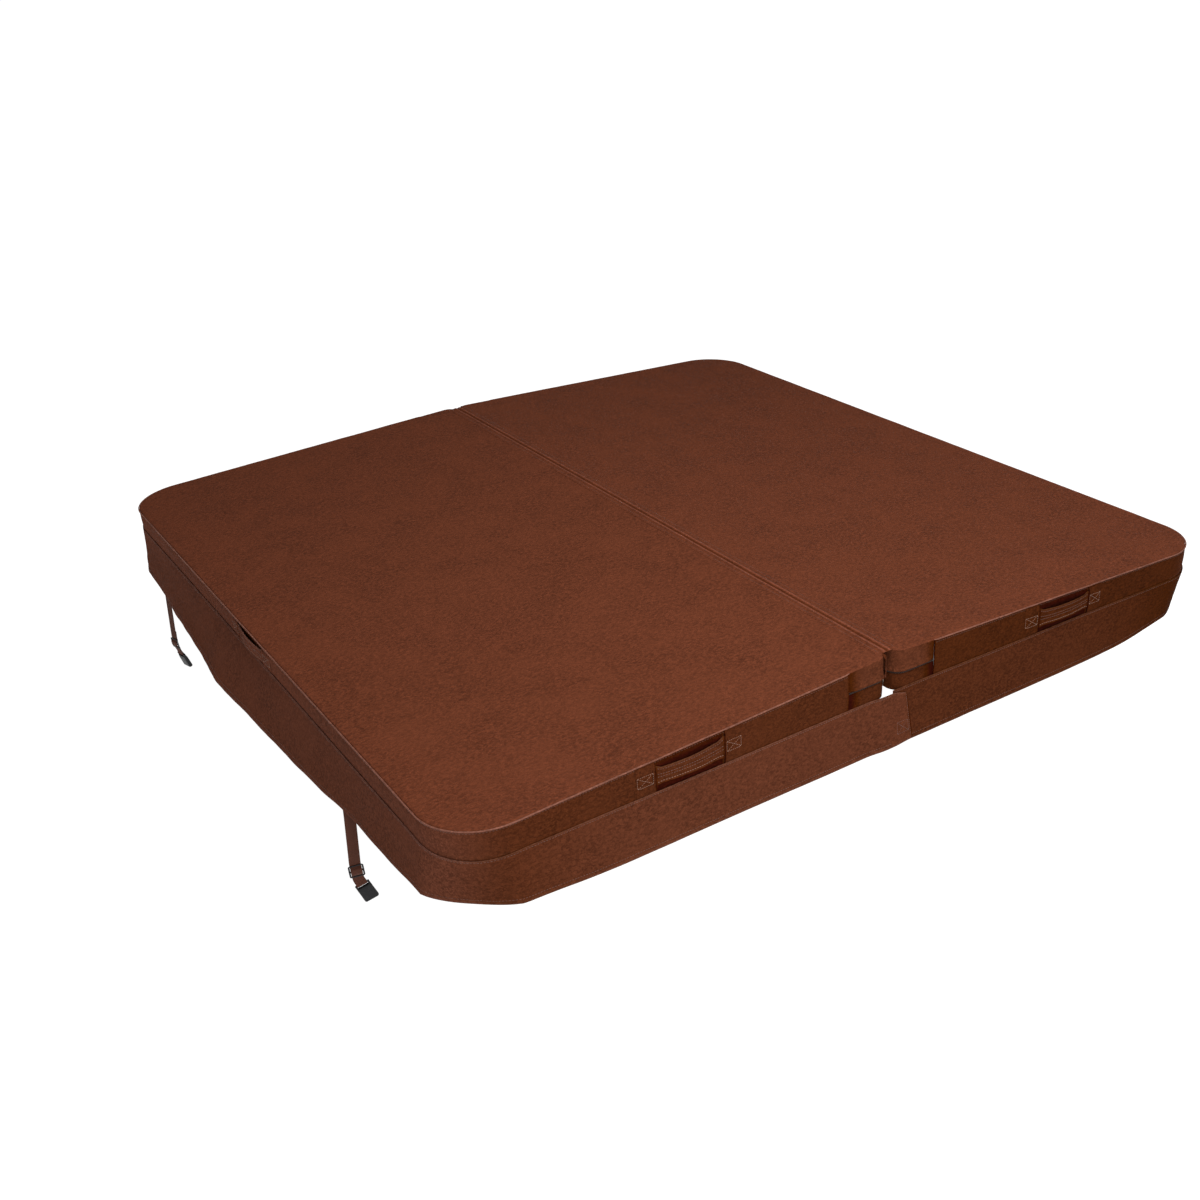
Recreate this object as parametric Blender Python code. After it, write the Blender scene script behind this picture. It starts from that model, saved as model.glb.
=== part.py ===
"""Bifold spa cover: two tapered foam panels in vinyl jackets, a sewn hinge, a skirt and straps.

+X runs across the fold, +Y along it and +Z up. The origin is under the middle of the fold, on
the plane of the tub's rim. Every length is in metres.
"""

import math

import bmesh
import bpy
from mathutils import Matrix, Vector

# driving dimensions
SIDE = 2.10             # both sides of the square, over the piping
RIDGE_T = 0.100         # panel thickness at the fold
EDGE_T = 0.060          # panel thickness at the outer edge
CORNER_R = 0.140        # outer corners, over the piping
FOLD_CORNER_R = 0.030   # the jacket's corners at the fold
FOLD_GAP = 0.020        # between the two panels
SKIRT_DROP = 0.130      # hem below the rim plane
GAP = 0.0003            # clearance between separate pieces
SKIN = 0.0012           # vinyl sheet

# piping and jacket
PIPE_R = 0.002
PIPE_DROP = 0.003       # pipe centre below the top face
FACE = SIDE / 2 - 2 * PIPE_R - GAP
PIPE_OUT = PIPE_R + GAP
JACKET_R = CORNER_R - (SIDE / 2 - FACE)
SEAM_X = 0.120          # where the boxing ends and the zip bands begin
ZIP_LOW = 0.040
ZIP_HIGH = 0.046
FILM = 0.0006
CHANNEL_T = 0.0010
CHANNEL_DEPTH = 0.030
CHANNEL_HALF = 0.990
LINING = SKIN + GAP                        # inset of the film bag
CHANNEL_IN = LINING + FILM + GAP           # inset of the steel channel
CORE_IN = CHANNEL_IN + CHANNEL_T + GAP     # inset of the foam core

# hinge web, one leaf on each panel
LEAF_T = 0.0012
LEAF_WIDTH = 0.028
LEAF_HALF = 1.030
AXIS_Z = RIDGE_T + GAP + LEAF_T + GAP

# skirt
SKIRT_T = 0.0015
SKIRT_TOP = 0.008
FLAP_X = 0.050          # how far the flap passes the middle of the fold
TUCK_X = 0.004          # where the skirt's other end stops short of it
FLAP_LIFT = 0.0045      # how far the flap stands out over the other half's skirt
LIFT_END = 0.020        # the flap stands fully out from here on, short of the fold
LIFT_RAMP = 0.050
SIDE_FLARE = 0.038      # how much further the hem stands out at the middle of the outer side
SIDE_FLARE_BASE = 0.012
SIDE_FLARE_MIDDLE = 0.10
END_FLARE = 0.006
NEAR_TUCK = 0.028       # how far the hem is drawn in at the two corners
FAR_TUCK = 0.012
CORNER_RISE = 0.010     # how far the hem is drawn up there
CORNER_STAND = 0.0012   # how much further the top edge stands off there
PATCH_T = 0.0010
PATCH_X = (0.010, 0.044)
PATCH_Z = (-0.105, -0.030)

# carry handles
HANDLE_T = 0.0025
HANDLE_LOOP = 0.166
HANDLE_PATCH = 0.043
HANDLE_BULGE = 0.010
HANDLE_LOW = 0.010      # foot of the sewn ends
HANDLE_BELOW = 0.0065   # their head, below the sloping top
END_HANDLE_X = 0.525
END_LOOP = (0.019, 0.022)     # the loop's foot, and its head below the sloping top
SIDE_LOOP = (0.014, 0.013)

# zip slider and pull
SLIDER_Y = -1.0217
SLIDER_Z = (ZIP_LOW + ZIP_HIGH) / 2
SLIDER_SIZE = (0.0035, 0.011, 0.009)
PEG_R = 0.0012
PEG_LENGTH = 0.0030
PULL_T = 0.0012
PULL_WIDTH = 0.0070
PULL_LENGTH = 0.030
PULL_HOLE_R = 0.0016

# tie-down straps
STRAP_X = 1.0445
STRAP_YS = {"left": {"a": 0.820, "b": -0.510}, "right": {"a": -0.820, "b": 0.510}}
STRAP_TURN = {"a": 0.30, "b": 1.30}       # turn about its length, down to the hem
TURN_FROM, TURN_TO = 0.015, 0.125         # where along the webbing it turns
STRAP_LEAN = {                            # (length down the webbing, lean from plumb)
    "a": [(0.13, 0.0), (0.17, -0.08), (0.290, -0.08), (0.296, 0.08), (0.329, 0.08),
          (0.336, 0.40), (0.342, 0.30)],
    "b": [(0.13, 0.0), (0.17, 0.06), (0.290, 0.06), (0.296, -0.04), (0.329, -0.04),
          (0.342, -0.36)],
}
LEAN_FLAT = {"a": True, "b": False}       # leans across its face, or across its edge
STRAP_Z = -0.0030       # top of the webbing
WEB_T = 0.0014
WEB_WIDTH = 0.025
ADJUSTER_Z = -0.312     # its middle, along the webbing
ADJUSTER_SIZE = (0.034, 0.031)
SLOT_WIDTH = 0.0264
SLOT_SPAN = (0.0020, 0.0130)
TAIL = 0.040            # free end of the webbing over the adjuster's middle
BAR_Z = -0.352          # middle of the buckle's bar, along the webbing
RAIL_T = 0.0020
RAIL_N = WEB_T / 2 + GAP + RAIL_T / 2      # how far the adjuster's rails stand off the webbing
BUCKLE_N = -0.0009
BUCKLE_SIZE = (0.034, 0.0110, 0.0385)
BUCKLE_BAR_R = 0.0012   # half of the square bar
BUCKLE_SLOT = 0.0060
BUCKLE_WALL = 0.0025
BUCKLE_FLOOR = 0.0045

TURNS = {"left": 0.0, "right": math.pi}


# ---------------------------------------------------------------- meshes

def mesh_from(name, verts, faces):
    """A closed mesh with its normals outward."""
    bm = bmesh.new()
    made = [bm.verts.new(v) for v in verts]
    for face in faces:
        bm.faces.new([made[i] for i in face])
    bmesh.ops.recalc_face_normals(bm, faces=bm.faces)
    mesh = bpy.data.meshes.new(name)
    bm.to_mesh(mesh)
    bm.free()
    return mesh


def loft(name, sections):
    """A solid swept through sections that all have the same number of points."""
    n = len(sections[0])
    verts = [point for section in sections for point in section]
    faces = [tuple(range(n)), tuple(range(len(verts) - n, len(verts)))]
    for k in range(len(sections) - 1):
        for i in range(n):
            j = (i + 1) % n
            faces.append((k * n + i, k * n + j, (k + 1) * n + j, (k + 1) * n + i))
    return mesh_from(name, verts, faces)


def sheet_loft(name, sections):
    """A thin twisted sheet from (outer top, outer low, inner low, inner top) sections.

    Both faces are split along the same diagonals, so they stay a wall apart.
    """
    verts = [point for section in sections for point in section]
    faces = [(0, 1, 2, 3), tuple(range(len(verts) - 4, len(verts)))]
    for k in range(0, len(verts) - 4, 4):
        for i, j in ((0, 1), (1, 2), (3, 2), (0, 3)):
            faces.append((k + i, k + j, k + 4 + j))
            faces.append((k + i, k + 4 + j, k + 4 + i))
    return mesh_from(name, verts, faces)


def box(name, low, high):
    """A plain box between two corners."""
    (x0, y0, z0), (x1, y1, z1) = low, high
    return loft(name, [[(x0, y0, z), (x1, y0, z), (x1, y1, z), (x0, y1, z)] for z in (z0, z1)])


def cylinder_x(name, radius, x0, x1, steps=20):
    """A round bar along X."""
    turns = [math.tau * i / steps for i in range(steps)]
    ring = [(radius * math.cos(a), radius * math.sin(a)) for a in turns]
    return loft(name, [[(x, y, z) for y, z in ring] for x in (x0, x1)])


def combine(name, base, *steps):
    """base with each (operation, tool mesh) applied in turn, as one plain mesh."""
    holder = bpy.data.objects.new(name, base)
    bpy.context.scene.collection.objects.link(holder)
    tools = []
    for operation, mesh in steps:
        tool = bpy.data.objects.new(name + "_tool", mesh)
        bpy.context.scene.collection.objects.link(tool)
        tools.append(tool)
        cut = holder.modifiers.new(operation, "BOOLEAN")
        cut.operation = operation
        cut.solver = "EXACT"
        cut.object = tool
    bpy.context.view_layer.update()
    evaluated = holder.evaluated_get(bpy.context.evaluated_depsgraph_get())
    mesh = bpy.data.meshes.new_from_object(evaluated)
    mesh.name = name
    for spare in [holder] + tools:
        bpy.data.objects.remove(spare, do_unlink=True)
    return mesh


# ---------------------------------------------------------------- the left half's outline

def top_z(x):
    """Height of the panel's sloping top at x."""
    return EDGE_T + (RIDGE_T - EDGE_T) * (1 - abs(x) / FACE)


def straight(a, b, steps):
    """Points along a straight line, without its end."""
    return [(a[0] + (b[0] - a[0]) * i / steps, a[1] + (b[1] - a[1]) * i / steps)
            for i in range(steps)]


def arc(cx, cy, radius, start, end, steps):
    """(point, outward normal) pairs along an arc, in degrees, ends included."""
    pairs = []
    for i in range(steps + 1):
        a = math.radians(start + (end - start) * i / steps)
        n = (math.cos(a), math.sin(a))
        pairs.append(((cx + radius * n[0], cy + radius * n[1]), n))
    return pairs


def outer_path(near_x, far_x, end_steps=1, side_steps=1):
    """Near end, outer side and far end of the left half, as (point, outward normal) pairs."""
    inner = FACE - JACKET_R
    near = [(p, (0, -1)) for p in straight((near_x, -FACE), (-inner, -FACE), end_steps)]
    side = [(p, (-1, 0)) for p in straight((-FACE, -inner), (-FACE, inner), side_steps)]
    far = [(p, (0, 1)) for p in straight((far_x, FACE), (-inner, FACE), end_steps)]
    first = arc(-inner, -inner, JACKET_R, 270, 180, 14)
    second = arc(-inner, inner, JACKET_R, 180, 90, 14)
    return near + first + side[1:] + second + far[::-1]


def fold_path():
    """The rest of the outline: round the two fold corners and along the fold."""
    x = -FOLD_GAP / 2 - FOLD_CORNER_R
    y = FACE - FOLD_CORNER_R
    far = arc(x, y, FOLD_CORNER_R, 90, 0, 8)
    near = arc(x, -y, FOLD_CORNER_R, 0, -90, 8)
    return [((-SEAM_X, FACE), (0, 1))] + far + near + [((-SEAM_X, -FACE), (0, -1))]


def shifted(pair, out):
    """A path point moved outward."""
    (x, y), (nx, ny) = pair
    return x + nx * out, y + ny * out


def outline(inset):
    """The closed outline of the left half, moved inward."""
    pairs = outer_path(-SEAM_X, -SEAM_X) + fold_path()[1:-1]
    return [shifted(pair, -inset) for pair in pairs]


def slab(name, inset, z_low, drop):
    """A solid filling the outline, from z_low to drop below the sloping top."""
    points = outline(inset)
    return loft(name, [[(x, y, z_low) for x, y in points],
                       [(x, y, top_z(x) - drop) for x, y in points]])


def plate(name, low, high):
    """A sheet filling the outline, between two heights given as functions of x."""
    points = outline(0)
    return loft(name, [[(x, y, low(x)) for x, y in points],
                       [(x, y, high(x)) for x, y in points]])


def strip(name, path, low, high):
    """A vinyl strip along a path, between two heights given as functions of x."""
    sections = []
    for pair in path:
        outer = shifted(pair, 0)
        inner = shifted(pair, -SKIN)
        sections.append([(*outer, low(outer[0])), (*outer, high(outer[0])),
                         (*inner, high(inner[0])), (*inner, low(inner[0]))])
    return loft(name, sections)


# ---------------------------------------------------------------- the jacket and what is in it

def foam_core():
    return slab("foam_core", CORE_IN, CORE_IN, CORE_IN)


def vapour_film():
    """A thin bag round the core; its mouth is a slit at the fold side."""
    outer = slab("film_outer", LINING, LINING, LINING)
    inner = slab("film_inner", LINING + FILM, LINING + FILM, LINING + FILM)
    mouth = box("film_mouth", (-0.020, -0.9, 0.048), (0.0, 0.9, 0.052))
    return combine("vapour_film", outer, ("DIFFERENCE", inner), ("DIFFERENCE", mouth))


def edge_channel():
    """A folded steel channel over the core's fold edge, open away from the fold."""
    front = -FOLD_GAP / 2 - CHANNEL_IN
    back = front - CHANNEL_DEPTH
    low = CHANNEL_IN
    inner = front - CHANNEL_T

    def high(x):
        return top_z(x) - CHANNEL_IN

    profile = [(back, low), (front, low), (front, high(front)), (back, high(back)),
               (back, high(back) - CHANNEL_T), (inner, high(inner) - CHANNEL_T),
               (inner, low + CHANNEL_T), (back, low + CHANNEL_T)]
    return loft("edge_channel", [[(x, y, z) for x, z in profile]
                                 for y in (-CHANNEL_HALF, CHANNEL_HALF)])


def top_skin():
    return plate("top_skin", lambda x: top_z(x) - SKIN, top_z)


def bottom_skin():
    return plate("bottom_skin", lambda x: 0.0, lambda x: SKIN)


def boxing():
    path = outer_path(-SEAM_X - GAP, -SEAM_X - GAP)
    return strip("boxing", path, lambda x: LINING, lambda x: top_z(x) - LINING)


def zip_band_lower():
    return strip("zip_band_lower", fold_path(), lambda x: LINING, lambda x: ZIP_LOW)


def zip_band_upper():
    return strip("zip_band_upper", fold_path(), lambda x: ZIP_HIGH, lambda x: top_z(x) - LINING)


def zip_chain():
    return strip("zip_chain", fold_path(), lambda x: ZIP_LOW + GAP, lambda x: ZIP_HIGH - GAP)


def piping():
    """A round welt along the top of the boxing."""
    sections = []
    for pair in outer_path(-SEAM_X, -SEAM_X):
        (x, y), (nx, ny) = pair
        cx, cy = shifted(pair, PIPE_OUT)
        ring = []
        for i in range(8):
            a = math.tau * i / 8
            out = PIPE_R * math.cos(a)
            ring.append((cx + nx * out, cy + ny * out,
                         top_z(x) - PIPE_DROP + PIPE_R * math.sin(a)))
        sections.append(ring)
    return loft("piping", sections)


def hinge_leaf():
    """Half of the hinge web, sewn to the top skin's fold edge."""
    outer = -LEAF_WIDTH
    low = GAP
    high = GAP + LEAF_T
    profile = [(outer, top_z(outer) + low), (-GAP, top_z(0) + low),
               (-GAP, top_z(0) + high), (outer, top_z(outer) + high)]
    return loft("hinge_leaf", [[(x, y, z) for x, z in profile]
                               for y in (-LEAF_HALF, LEAF_HALF)])


# ---------------------------------------------------------------- skirt

def smooth(t):
    t = min(max(t, 0.0), 1.0)
    return t * t * (3 - 2 * t)


def skirt_out(pair, z):
    """How far the skirt's inner face stands outside the boxing at a height."""
    (x, y), (nx, ny) = pair
    swing = 0.5 + 0.5 * math.cos(math.pi * min(abs(y - SIDE_FLARE_MIDDLE) / 0.95, 1.0))
    side = SIDE_FLARE_BASE + SIDE_FLARE * swing
    corner = 2 * abs(nx * ny)
    flare = END_FLARE * ny * ny + side * nx * nx - (NEAR_TUCK if y < 0 else FAR_TUCK) * corner
    lift = FLAP_LIFT * smooth((x + LIFT_END + LIFT_RAMP) / LIFT_RAMP) if ny < 0 else 0.0
    drop = (SKIRT_TOP - z) / (SKIRT_TOP + SKIRT_DROP)
    return GAP + lift + CORNER_STAND * corner + flare * drop


def skirt_path():
    """From the flap's end, round the half, to the end that lies under the other flap."""
    ramp = [-LIFT_END - LIFT_RAMP * i / 4 for i in range(4)]
    flap = [((x, -FACE), (0, -1)) for x in [FLAP_X, 0.0] + ramp]
    return flap + outer_path(-LIFT_END - LIFT_RAMP, -TUCK_X, end_steps=6, side_steps=16)


def skirt():
    sections = []
    for pair in skirt_path():
        section = []
        nx, ny = pair[1]
        hem = -SKIRT_DROP + CORNER_RISE * 2 * abs(nx * ny)
        for z, out in ((SKIRT_TOP, SKIRT_T), (hem, SKIRT_T), (hem, 0), (SKIRT_TOP, 0)):
            section.append((*shifted(pair, skirt_out(pair, z) + out), z))
        sections.append(section)
    return sheet_loft("skirt", sections)


def flap_patch(name, y_sign, xs, out):
    """A hook or loop patch on the skirt, out from the skirt's inner face."""
    sections = []
    for x in xs:
        pair = ((x, y_sign * FACE), (0, y_sign))
        section = []
        for z, thick in ((PATCH_Z[1], PATCH_T), (PATCH_Z[0], PATCH_T), (PATCH_Z[0], 0),
                         (PATCH_Z[1], 0)):
            section.append((*shifted(pair, skirt_out(pair, z) + out + thick), z))
        sections.append(section)
    return loft(name, sections)


def flap_hook():
    """On the inside of this half's flap."""
    return flap_patch("flap_hook", -1, PATCH_X, -GAP - PATCH_T)


def flap_loop():
    """On the outside of the skirt's far end, under the other half's flap."""
    return flap_patch("flap_loop", 1, [-x for x in PATCH_X], SKIRT_T + GAP)


# ---------------------------------------------------------------- handles

def handle(name, centre, along, normal, loop):
    """A carry strap, sewn flat at both ends and standing off the boxing between them."""
    half = HANDLE_LOOP / 2
    steps = 12
    stations = [(-half - HANDLE_PATCH, 0.0, 0.0)]
    for i in range(steps + 1):
        t = i / steps
        rise = math.sin(math.pi * t)
        stations.append(((t - 0.5) * HANDLE_LOOP, HANDLE_BULGE * rise, smooth(rise * 3)))
    stations.append((half + HANDLE_PATCH, 0.0, 0.0))
    sections = []
    for u, bulge, lip in stations:
        x = centre[0] + along[0] * u
        y = centre[1] + along[1] * u
        low = HANDLE_LOW + (loop[0] - HANDLE_LOW) * lip
        high = top_z(x) - HANDLE_BELOW - (loop[1] - HANDLE_BELOW) * lip
        section = []
        for z, out in ((low, bulge + GAP), (low, bulge + GAP + HANDLE_T),
                       (high, bulge + GAP + HANDLE_T), (high, bulge + GAP)):
            section.append((x + normal[0] * out, y + normal[1] * out, z))
        sections.append(section)
    return loft(name, sections)


def handle_near():
    return handle("handle_near", (-END_HANDLE_X, -FACE), (1, 0), (0, -1), END_LOOP)


def handle_far():
    return handle("handle_far", (-END_HANDLE_X, FACE), (1, 0), (0, 1), END_LOOP)


def handle_side():
    return handle("handle_side", (-FACE, 0), (0, 1), (-1, 0), SIDE_LOOP)


# ---------------------------------------------------------------- zip slider and pull

def zip_slider():
    """The slider's body, on the outside of the zip, with the peg its pull turns on."""
    x0 = -FOLD_GAP / 2 + GAP
    sx, sy, sz = SLIDER_SIZE
    body = box("slider_body", (x0, SLIDER_Y - sy / 2, SLIDER_Z - sz / 2),
               (x0 + sx, SLIDER_Y + sy / 2, SLIDER_Z + sz / 2))
    peg = cylinder_x("slider_peg", PEG_R, x0 + sx - 0.001, x0 + sx + PEG_LENGTH)
    peg.transform(Matrix.Translation((0, SLIDER_Y, SLIDER_Z)))
    return combine("zip_slider", body, ("UNION", peg))


def pull_x():
    """The pull's face nearest the slider."""
    return -FOLD_GAP / 2 + GAP + SLIDER_SIZE[0] + GAP


def zip_pull():
    """A flat tab hanging from the peg through a round hole."""
    x0 = pull_x()
    tab = box("pull_tab", (x0, SLIDER_Y - PULL_WIDTH / 2, SLIDER_Z - PULL_LENGTH + 0.004),
              (x0 + PULL_T, SLIDER_Y + PULL_WIDTH / 2, SLIDER_Z + 0.004))
    hole = cylinder_x("pull_hole", PULL_HOLE_R, x0 - 0.001, x0 + PULL_T + 0.001)
    hole.transform(Matrix.Translation((0, SLIDER_Y, SLIDER_Z)))
    return combine("zip_pull", tab, ("DIFFERENCE", hole))


# ---------------------------------------------------------------- tie-down straps
# A strap is drawn plumb at its pivot: -X is outward, Y across the webbing and Z up. hung() then
# gives it the turn and the lean it hangs with.

def web_centre_line():
    """(outward, height) points: over the adjuster, round the buckle's bar, back and out behind."""
    z = ADJUSTER_Z
    front = RAIL_N + RAIL_T / 2 + GAP + WEB_T / 2
    bump = front + WEB_T + GAP
    back = -WEB_T - GAP
    down = [(0, 0)]
    down += [(0, -TURN_FROM - (TURN_TO - TURN_FROM) * i / 12) for i in range(13)]
    down += [(0, -0.17), (0, -0.23), (0, z + 0.0220), (0, z + 0.0125), (bump, z + 0.0060),
             (bump, z - 0.0060), (0, z - 0.0125)]
    down += [(0, -length) for length, _ in STRAP_LEAN["a"][-3:]]
    radius = BUCKLE_BAR_R * math.sqrt(2) + GAP + WEB_T / 2
    turn = []
    for i in range(9):
        a = math.pi * i / 8
        turn.append((BUCKLE_N + radius * math.cos(a), BAR_Z - radius * math.sin(a)))
    up = [(back, -length) for length, _ in reversed(STRAP_LEAN["a"][-3:])]
    up += [(back, z - 0.0110), (front, z - 0.0045), (front, z + 0.0045), (back, z + 0.0110),
           (back, z + 0.0220), (back, z + TAIL)]
    return down + turn + up


def lean_at(letter, length):
    """The strap's lean at a length down the webbing."""
    points = STRAP_LEAN[letter]
    for (a, lean_a), (b, lean_b) in zip(points, points[1:]):
        if length < b:
            return lean_a + (lean_b - lean_a) * max(0.0, (length - a) / (b - a))
    return points[-1][1]


def hung(mesh, letter):
    """The mesh with its points moved from the plumb strap to the turned and leaning one."""
    step = 0.0005
    line = [(0.0, 0.0)]
    for i in range(int(0.45 / step)):
        lean = lean_at(letter, (i + 0.5) * step)
        side, down = line[-1]
        line.append((side + math.sin(lean) * step, down - math.cos(lean) * step))
    for vertex in mesh.vertices:
        x, y, z = vertex.co
        length = max(-z, 0.0)
        k = min(int(length / step), len(line) - 2)
        part = length / step - k
        side = line[k][0] + (line[k + 1][0] - line[k][0]) * part
        down = line[k][1] + (line[k + 1][1] - line[k][1]) * part
        lean = lean_at(letter, length)
        across = x if LEAN_FLAT[letter] else y
        leaning = side + across * math.cos(lean)
        height = down + across * math.sin(lean)
        flat = Vector((leaning, y)) if LEAN_FLAT[letter] else Vector((x, leaning))
        turn = STRAP_TURN[letter] * smooth((length - TURN_FROM) / (TURN_TO - TURN_FROM))
        vertex.co = (flat.x * math.cos(turn) - flat.y * math.sin(turn),
                     flat.x * math.sin(turn) + flat.y * math.cos(turn), height)
    return mesh


def ribbon_edges(line, half):
    """The two edges of a ribbon with a centre line, mitred at its bends."""
    left, right = [], []
    for i, point in enumerate(line):
        p = Vector(point)
        before = (p - Vector(line[i - 1])).normalized() if i else None
        after = (Vector(line[i + 1]) - p).normalized() if i + 1 < len(line) else None
        directions = [d for d in (before, after) if d is not None]
        normals = [Vector((-d.y, d.x)) for d in directions]
        mean = sum(normals, Vector((0, 0))).normalized()
        reach = half / max(mean.dot(normals[0]), 0.4)
        left.append(p + mean * reach)
        right.append(p - mean * reach)
    return left, right


def strap_webbing(letter):
    left, right = ribbon_edges(web_centre_line(), WEB_T / 2)
    sections = []
    for a, b in zip(left, right):
        sections.append([(-a.x, -WEB_WIDTH / 2, a.y), (-a.x, WEB_WIDTH / 2, a.y),
                         (-b.x, WEB_WIDTH / 2, b.y), (-b.x, -WEB_WIDTH / 2, b.y)])
    return hung(loft("strap_webbing", sections), letter)


def strap_adjuster(letter):
    """A flat frame with two slots and a bar between them."""
    low, high = -RAIL_N - RAIL_T / 2, -RAIL_N + RAIL_T / 2
    width, height = ADJUSTER_SIZE
    frame = box("adjuster_frame", (low, -width / 2, ADJUSTER_Z - height / 2),
                (high, width / 2, ADJUSTER_Z + height / 2))
    near, far = SLOT_SPAN
    slots = []
    for z0, z1 in ((near, far), (-far, -near)):
        slots.append(("DIFFERENCE", box("adjuster_slot",
                                        (low - 0.001, -SLOT_WIDTH / 2, ADJUSTER_Z + z0),
                                        (high + 0.001, SLOT_WIDTH / 2, ADJUSTER_Z + z1))))
    return hung(combine("strap_adjuster", frame, *slots), letter)


def buckle_box(name, width, depth, z0, z1):
    """A box centred on the buckle, wide along Y and deep along X."""
    x = -BUCKLE_N
    return box(name, (x - depth / 2, -width / 2, z0), (x + depth / 2, width / 2, z1))


def strap_buckle(letter):
    """The socket half of a side-release buckle, with its mouth downward."""
    width, depth, length = BUCKLE_SIZE
    top = BAR_Z - BUCKLE_BAR_R - BUCKLE_SLOT
    mouth = top - length
    slot_width = WEB_WIDTH + 0.0014
    cavity_width = width - 2 * BUCKLE_WALL
    cavity_depth = depth - 2 * 0.0020
    body = buckle_box("buckle_body", width, depth, mouth, top)
    head = buckle_box("buckle_head", width, 0.0060, top - 0.001, BAR_Z + BUCKLE_BAR_R)
    slot = buckle_box("buckle_slot", slot_width, 0.02, top, BAR_Z - BUCKLE_BAR_R)
    steps = [("UNION", head), ("DIFFERENCE", slot)]
    for side in (-1, 1):
        relief = buckle_box("buckle_relief", slot_width, 0.01, BAR_Z - BUCKLE_BAR_R - 0.0005,
                            BAR_Z + 0.01)
        relief.transform(Matrix.Translation((side * (0.005 + BUCKLE_BAR_R), 0, 0)))
        steps.append(("DIFFERENCE", relief))
    cavity = buckle_box("buckle_cavity", cavity_width, cavity_depth, mouth - 0.001,
                        top - BUCKLE_FLOOR)
    window = buckle_box("buckle_window", width + 0.01, cavity_depth - 0.001, mouth + 0.010,
                        mouth + 0.026)
    steps += [("DIFFERENCE", cavity), ("DIFFERENCE", window)]
    return hung(combine("strap_buckle", body, *steps), letter)


# ---------------------------------------------------------------- materials and placing

BROWN = (0.115, 0.036, 0.020)
LOOKS = {
    "vinyl": (BROWN, 0.55, 0.0),
    "vinyl_underside": ((0.075, 0.028, 0.017), 0.60, 0.0),
    "piping": ((0.190, 0.075, 0.052), 0.50, 0.0),
    "foam": ((0.82, 0.83, 0.84), 0.85, 0.0),
    "film": ((0.70, 0.74, 0.78), 0.35, 0.0),
    "steel": ((0.55, 0.56, 0.58), 0.35, 1.0),
    "zip_tape": ((0.030, 0.014, 0.010), 0.80, 0.0),
    "zip_metal": ((0.45, 0.38, 0.28), 0.35, 1.0),
    "webbing": ((0.130, 0.046, 0.030), 0.85, 0.0),
    "hook_and_loop": ((0.020, 0.014, 0.012), 0.95, 0.0),
    "black_plastic": ((0.012, 0.012, 0.013), 0.40, 0.0),
}

PANEL_PIECES = [
    (foam_core, "foam"),
    (vapour_film, "film"),
    (edge_channel, "steel"),
    (top_skin, "vinyl"),
    (bottom_skin, "vinyl_underside"),
    (boxing, "vinyl"),
    (zip_band_lower, "vinyl"),
    (zip_band_upper, "vinyl"),
    (zip_chain, "zip_tape"),
    (piping, "piping"),
    (hinge_leaf, "vinyl"),
    (skirt, "vinyl"),
    (flap_hook, "hook_and_loop"),
    (flap_loop, "hook_and_loop"),
    (handle_near, "vinyl"),
    (handle_far, "vinyl"),
    (handle_side, "vinyl"),
]
STRAP_PIECES = [
    (strap_webbing, "webbing"),
    (strap_adjuster, "black_plastic"),
    (strap_buckle, "black_plastic"),
]


def material(name):
    """The named look, made once."""
    found = bpy.data.materials.get(name)
    if found:
        return found
    colour, roughness, metallic = LOOKS[name]
    made = bpy.data.materials.new(name)
    made.use_nodes = True
    shader = made.node_tree.nodes["Principled BSDF"]
    shader.inputs["Base Color"].default_value = (*colour, 1)
    shader.inputs["Roughness"].default_value = roughness
    shader.inputs["Metallic"].default_value = metallic
    made.diffuse_color = (*colour, 1)
    return made


def pivot(name, half, point):
    """An empty on a joint's axis, turned with its half."""
    turn = Matrix.Rotation(TURNS[half], 4, "Z")
    empty = bpy.data.objects.new(name, None)
    empty.empty_display_size = 0.05
    empty.matrix_world = turn @ Matrix.Translation(point)
    bpy.context.scene.collection.objects.link(empty)
    return empty


def place(mesh, name, parent, look):
    """One node, with its origin on its body's pivot."""
    made = bpy.data.objects.new(name, mesh)
    made.parent = parent
    bpy.context.scene.collection.objects.link(made)
    if not mesh.materials:
        mesh.materials.append(material(look))


def at_pivot(mesh, point):
    """The mesh, measured from its body's pivot."""
    mesh.transform(Matrix.Translation(-Vector(point)))
    return mesh


def clear_scene():
    for old in list(bpy.data.objects):
        bpy.data.objects.remove(old, do_unlink=True)


def main():
    clear_scene()
    fold = (0, 0, AXIS_Z)
    zip_start = (-FOLD_GAP / 2, SLIDER_Y, SLIDER_Z)
    panel = [(at_pivot(make(), fold), make.__name__, look) for make, look in PANEL_PIECES]
    slider = at_pivot(zip_slider(), zip_start)
    pull = at_pivot(zip_pull(), zip_start)
    straps = {letter: [(make(letter), make.__name__, look) for make, look in STRAP_PIECES]
              for letter in STRAP_TURN}
    for half in TURNS:
        body = pivot(f"{half}_panel_axis", half, fold)
        for mesh, name, look in panel:
            place(mesh, f"{half}_{name}", body, look)
        place(slider, f"{half}_zip_slider", pivot(f"{half}_slider_axis", half, zip_start),
              "zip_metal")
        place(pull, f"{half}_zip_pull", pivot(f"{half}_pull_axis", half, zip_start), "zip_metal")
        for letter, y in STRAP_YS[half].items():
            hang = pivot(f"{half}_strap_{letter}_axis", half, (-STRAP_X, y, STRAP_Z))
            for mesh, name, look in straps[letter]:
                place(mesh, f"{half}_{name}_{letter}", hang, look)
    bpy.context.view_layer.update()


main()
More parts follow.
